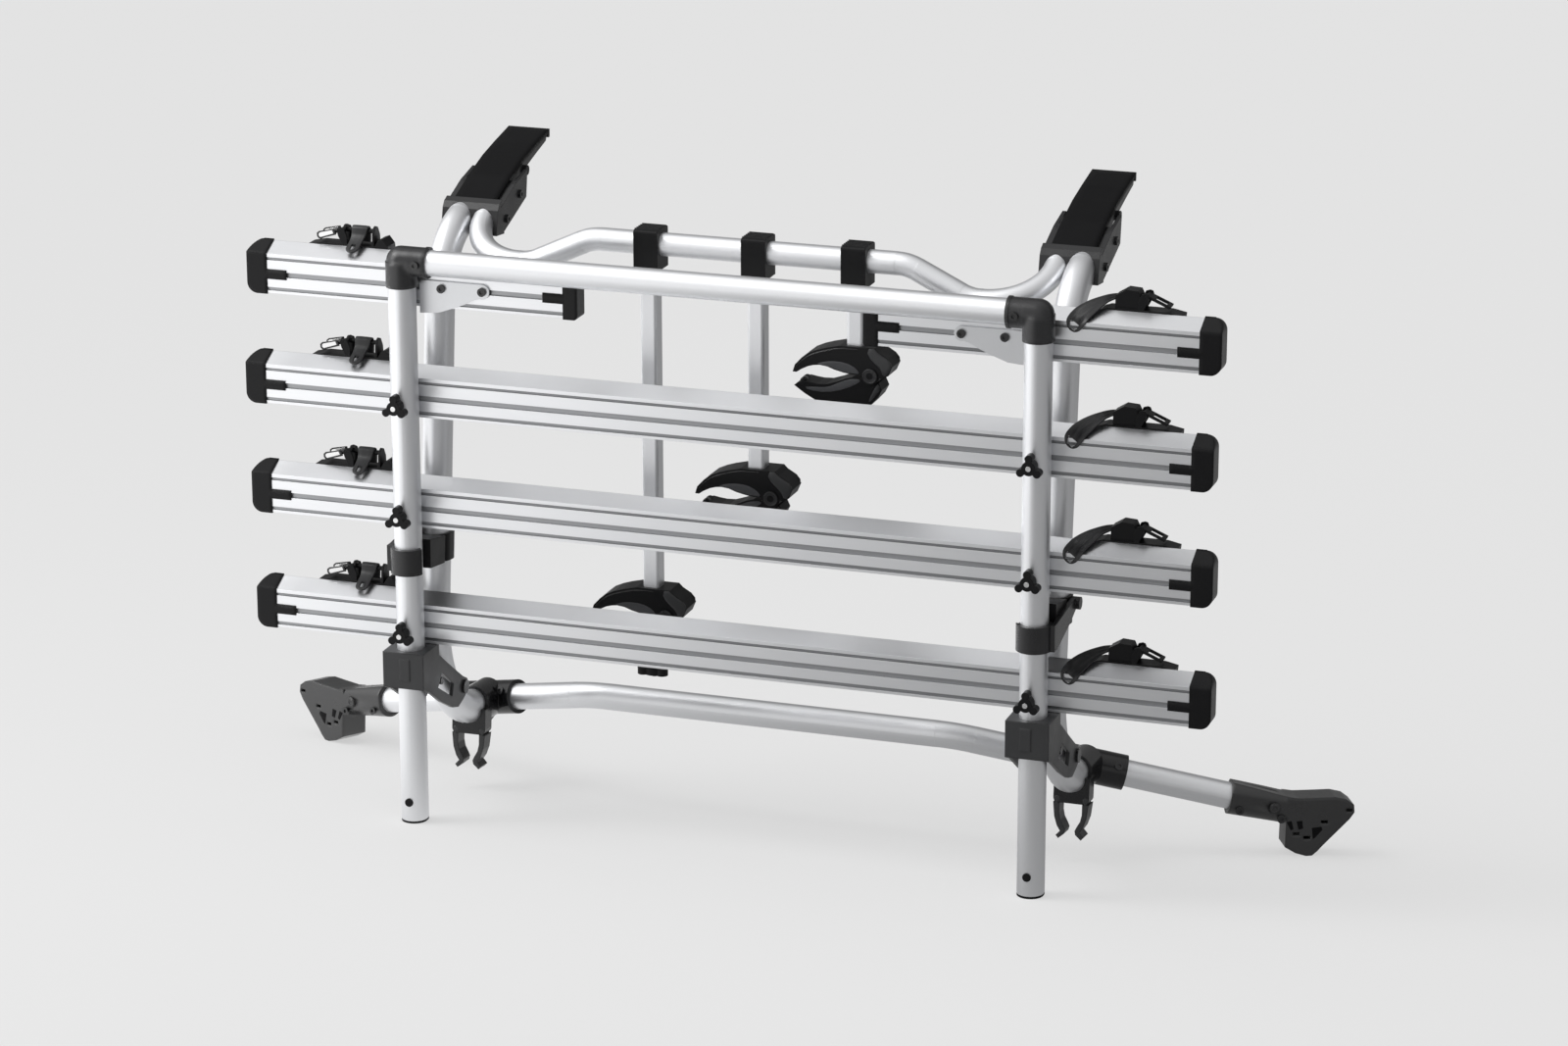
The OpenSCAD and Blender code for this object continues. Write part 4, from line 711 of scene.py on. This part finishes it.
def face_pad(name, outline, half, i, material, body):
    """A crowned pad on both flat sides of a jaw."""
    place = at_jaw(i)
    n = len(outline)
    cx, cz = middle(outline)
    points, faces = [], []
    for side in (-1, 1):
        base = len(points)
        for scale, lift in PAD_ROWS:
            for x, z in outline:
                points.append(place(cx + (x - cx) * scale, side * (half + lift), cz + (z - cz) * scale))
        top = base + (len(PAD_ROWS) - 1) * n
        faces += turned(loops(base, len(PAD_ROWS), n), side > 0)
        faces += turned([tuple(top + k for k in range(n)), tuple(base + k for k in range(n))[::-1]], side > 0)
    piece("%s_%d" % (name, i + 1), points, faces, material, body)


def pin_cover(i, body):
    """Rings turned about the jaws' pin, on both sides."""
    place = at_jaw(i)
    n = PIN_COUNT
    points, faces = [], []
    for side in (-1, 1):
        base = len(points)
        for r, h in PIN_RINGS:
            points += [place(x, side * (UPPER_HALF + h), z) for x, z in ring(*PIN_AT, r, n)]
        top = base + (len(PIN_RINGS) - 1) * n
        faces += turned(loops(base, len(PIN_RINGS), n) + [tuple(top + k for k in range(n))], side > 0)
    piece("pin_cover_%d" % (i + 1), points, faces, SATIN, body)


def tip_roller(i, body):
    """The small roller near the lower jaw's tip."""
    place = at_jaw(i)
    n = TIP_COUNT
    points = [place(x, w, z) for r, w in TIP_RINGS for x, z in ring(*TIP_AT, r, n)]
    faces = [(b, a, d, c) for a, b, c, d in loops(0, len(TIP_RINGS), n)]
    faces.append(tuple(range(n)))
    faces.append(tuple(len(points) - 1 - k for k in range(n)))
    piece("tip_roller_%d" % (i + 1), points, faces, DARK, body)


def top_ridge(i, body):
    """A narrow raised line that follows the upper jaw's back on both sides."""
    place = at_jaw(i)
    line = spline(RIDGE, RIDGE_ROWS)
    n = len(RIDGE_SECTION)
    points, faces = [], []
    for side in (-1, 1):
        base = len(points)
        for k, (x, z) in enumerate(line):
            fade = RIDGE_ENDS + (1 - RIDGE_ENDS) * math.sin(math.pi * k / (RIDGE_ROWS - 1))
            for dz, lift in RIDGE_SECTION:
                points.append(place(x, side * (UPPER_HALF + lift), z - RIDGE_DROP + dz * fade))
        faces += turned(loops(base, RIDGE_ROWS, n), side > 0)
        ends = [tuple(base + j for j in range(n - 1, -1, -1)), tuple(len(points) - n + j for j in range(n))]
        faces += turned(ends, side > 0)
    piece("top_ridge_%d" % (i + 1), points, faces, ELBOW, body)


for i in HOLDERS:
    upper, lower = "holder_arm_%d" % (i + 1), "lower_jaw_%d" % (i + 1)
    tip_roller(i, lower)
    top_ridge(i, upper)
    face_pad("upper_pad", UPPER_PAD, UPPER_HALF, i, GREY, upper)
    face_pad("lower_pad", LOWER_PAD, LOWER_HALF, i, GREY, lower)
    face_pad("jaw_wing", WING, UPPER_HALF, i, CAST, upper)
    face_pad("jaw_heel", HEEL, LOWER_HALF, i, CAST, lower)
    pin_cover(i, upper)


# ---- floor, world and lamps ----
PAPER = (0.776, 0.776, 0.776)
FLOOR_SIZE = 60.0
FLOOR_CUTS = 12
FLOOR_DROP = 0.0002
# Share of the paper's own light to the camera; the rest shows the shadows.
FLOOR_GLOW = 0.72
# The floor's mirror image in the metal: bright at the left, grey at the right, as (x, level).
FLOOR_MIRROR = [(-2.4, 1.4), (-1.1, 1.3), (-0.45, 0.80), (0.2, 0.40), (1.4, 0.36)]
# The studio's level by direction, along X and along Y; the two are multiplied.
STUDIO = [(-1.0, 1.45), (-0.5, 1.15), (-0.1, 0.98), (0.3, 0.88), (0.7, 0.6), (1.0, 0.46)]
STUDIO_BACK = [(-1.0, 1.0), (0.3, 1.0), (0.5, 0.45), (0.7, 0.25), (1.0, 0.45)]
LAMP_AIM = Vector((0.0, 0.0, 0.3))


def gradient(tree, coord, stops):
    """A grey that follows one coordinate through (place, level) stops."""
    low, high = stops[0][0], stops[-1][0]
    span = tree.nodes.new("ShaderNodeMapRange")
    span.inputs["From Min"].default_value = low
    span.inputs["From Max"].default_value = high
    tree.links.new(coord, span.inputs["Value"])
    curve = tree.nodes.new("ShaderNodeFloatCurve")
    points = curve.mapping.curves[0].points
    top = max(level for _, level in stops)
    while len(points) < len(stops):
        points.new(0.5, 0.5)
    for point, (place, level) in zip(points, stops):
        point.location = ((place - low) / (high - low), level / top)
    curve.mapping.update()
    tree.links.new(span.outputs["Result"], curve.inputs["Value"])
    scale = tree.nodes.new("ShaderNodeMath")
    scale.operation = "MULTIPLY"
    scale.inputs[1].default_value = top
    tree.links.new(curve.outputs[0], scale.inputs[0])
    return scale.outputs[0]


def make_floor():
    """A large paper floor."""
    size, n = FLOOR_SIZE, FLOOR_CUTS
    z = FLOOR_Z - FLOOR_DROP
    points = [(size * (a / n - 0.5), size * (b / n - 0.5), z) for b in range(n + 1) for a in range(n + 1)]
    corners = [b * (n + 1) + a for b in range(n) for a in range(n)]
    faces = [(a, a + 1, a + n + 2, a + n + 1) for a in corners]
    mesh = bpy.data.meshes.new("floor")
    mesh.from_pydata(points, [], faces)
    obj = bpy.data.objects.new("floor", mesh)
    scene.collection.objects.link(obj)
    mat = bpy.data.materials.new("floor_paper")
    mat.use_nodes = True
    tree = mat.node_tree
    tree.nodes.clear()
    out = tree.nodes.new("ShaderNodeOutputMaterial")
    diffuse = tree.nodes.new("ShaderNodeBsdfDiffuse")
    diffuse.inputs["Color"].default_value = (*PAPER, 1)
    glow = tree.nodes.new("ShaderNodeEmission")
    glow.inputs["Color"].default_value = (*PAPER, 1)
    path = tree.nodes.new("ShaderNodeLightPath")
    part = tree.nodes.new("ShaderNodeMath")
    part.operation = "MULTIPLY"
    part.inputs[1].default_value = FLOOR_GLOW
    mix = tree.nodes.new("ShaderNodeMixShader")
    tree.links.new(path.outputs["Is Camera Ray"], part.inputs[0])
    tree.links.new(part.outputs[0], mix.inputs["Fac"])
    tree.links.new(diffuse.outputs[0], mix.inputs[1])
    tree.links.new(glow.outputs[0], mix.inputs[2])
    place = tree.nodes.new("ShaderNodeSeparateXYZ")
    tree.links.new(tree.nodes.new("ShaderNodeTexCoord").outputs["Object"], place.inputs[0])
    mirrored = tree.nodes.new("ShaderNodeEmission")
    tree.links.new(gradient(tree, place.outputs["X"], FLOOR_MIRROR), mirrored.inputs["Strength"])
    either = tree.nodes.new("ShaderNodeMixShader")
    tree.links.new(path.outputs["Is Glossy Ray"], either.inputs["Fac"])
    tree.links.new(mix.outputs[0], either.inputs[1])
    tree.links.new(mirrored.outputs[0], either.inputs[2])
    tree.links.new(either.outputs[0], out.inputs["Surface"])
    mesh.materials.append(mat)


def make_world():
    """A studio that fades from bright at the left to grey at the right, plain paper to the camera."""
    world = bpy.data.worlds.new("studio")
    scene.world = world
    world.use_nodes = True
    tree = world.node_tree
    tree.nodes.clear()
    out = tree.nodes.new("ShaderNodeOutputWorld")
    plain = tree.nodes.new("ShaderNodeBackground")
    plain.inputs["Color"].default_value = (*PAPER, 1)
    soft = tree.nodes.new("ShaderNodeBackground")
    way = tree.nodes.new("ShaderNodeSeparateXYZ")
    tree.links.new(tree.nodes.new("ShaderNodeTexCoord").outputs["Generated"], way.inputs[0])
    level = tree.nodes.new("ShaderNodeMath")
    level.operation = "MULTIPLY"
    tree.links.new(gradient(tree, way.outputs["X"], STUDIO), level.inputs[0])
    tree.links.new(gradient(tree, way.outputs["Y"], STUDIO_BACK), level.inputs[1])
    tree.links.new(level.outputs[0], soft.inputs["Strength"])
    path = tree.nodes.new("ShaderNodeLightPath")
    mix = tree.nodes.new("ShaderNodeMixShader")
    tree.links.new(path.outputs["Is Camera Ray"], mix.inputs["Fac"])
    tree.links.new(soft.outputs[0], mix.inputs[1])
    tree.links.new(plain.outputs[0], mix.inputs[2])
    tree.links.new(mix.outputs[0], out.inputs["Surface"])


def lamp(kind, name, at, energy, **values):
    data = bpy.data.lights.new(name, kind)
    data.energy = energy
    for key, value in values.items():
        setattr(data, key, value)
    obj = bpy.data.objects.new(name, data)
    turn = (LAMP_AIM - Vector(at)).to_track_quat("-Z", "Y")
    obj.matrix_world = Matrix.Translation(at) @ turn.to_matrix().to_4x4()
    scene.collection.objects.link(obj)


make_floor()
make_world()
lamp("SUN", "sky_left", (-2.6, -1.4, 3.6), 1.2, angle=math.radians(35))
lamp("AREA", "key_left", (-2.4, -1.6, 1.7), 26, shape="RECTANGLE", size=1.0, size_y=2.2)

bpy.context.view_layer.update()
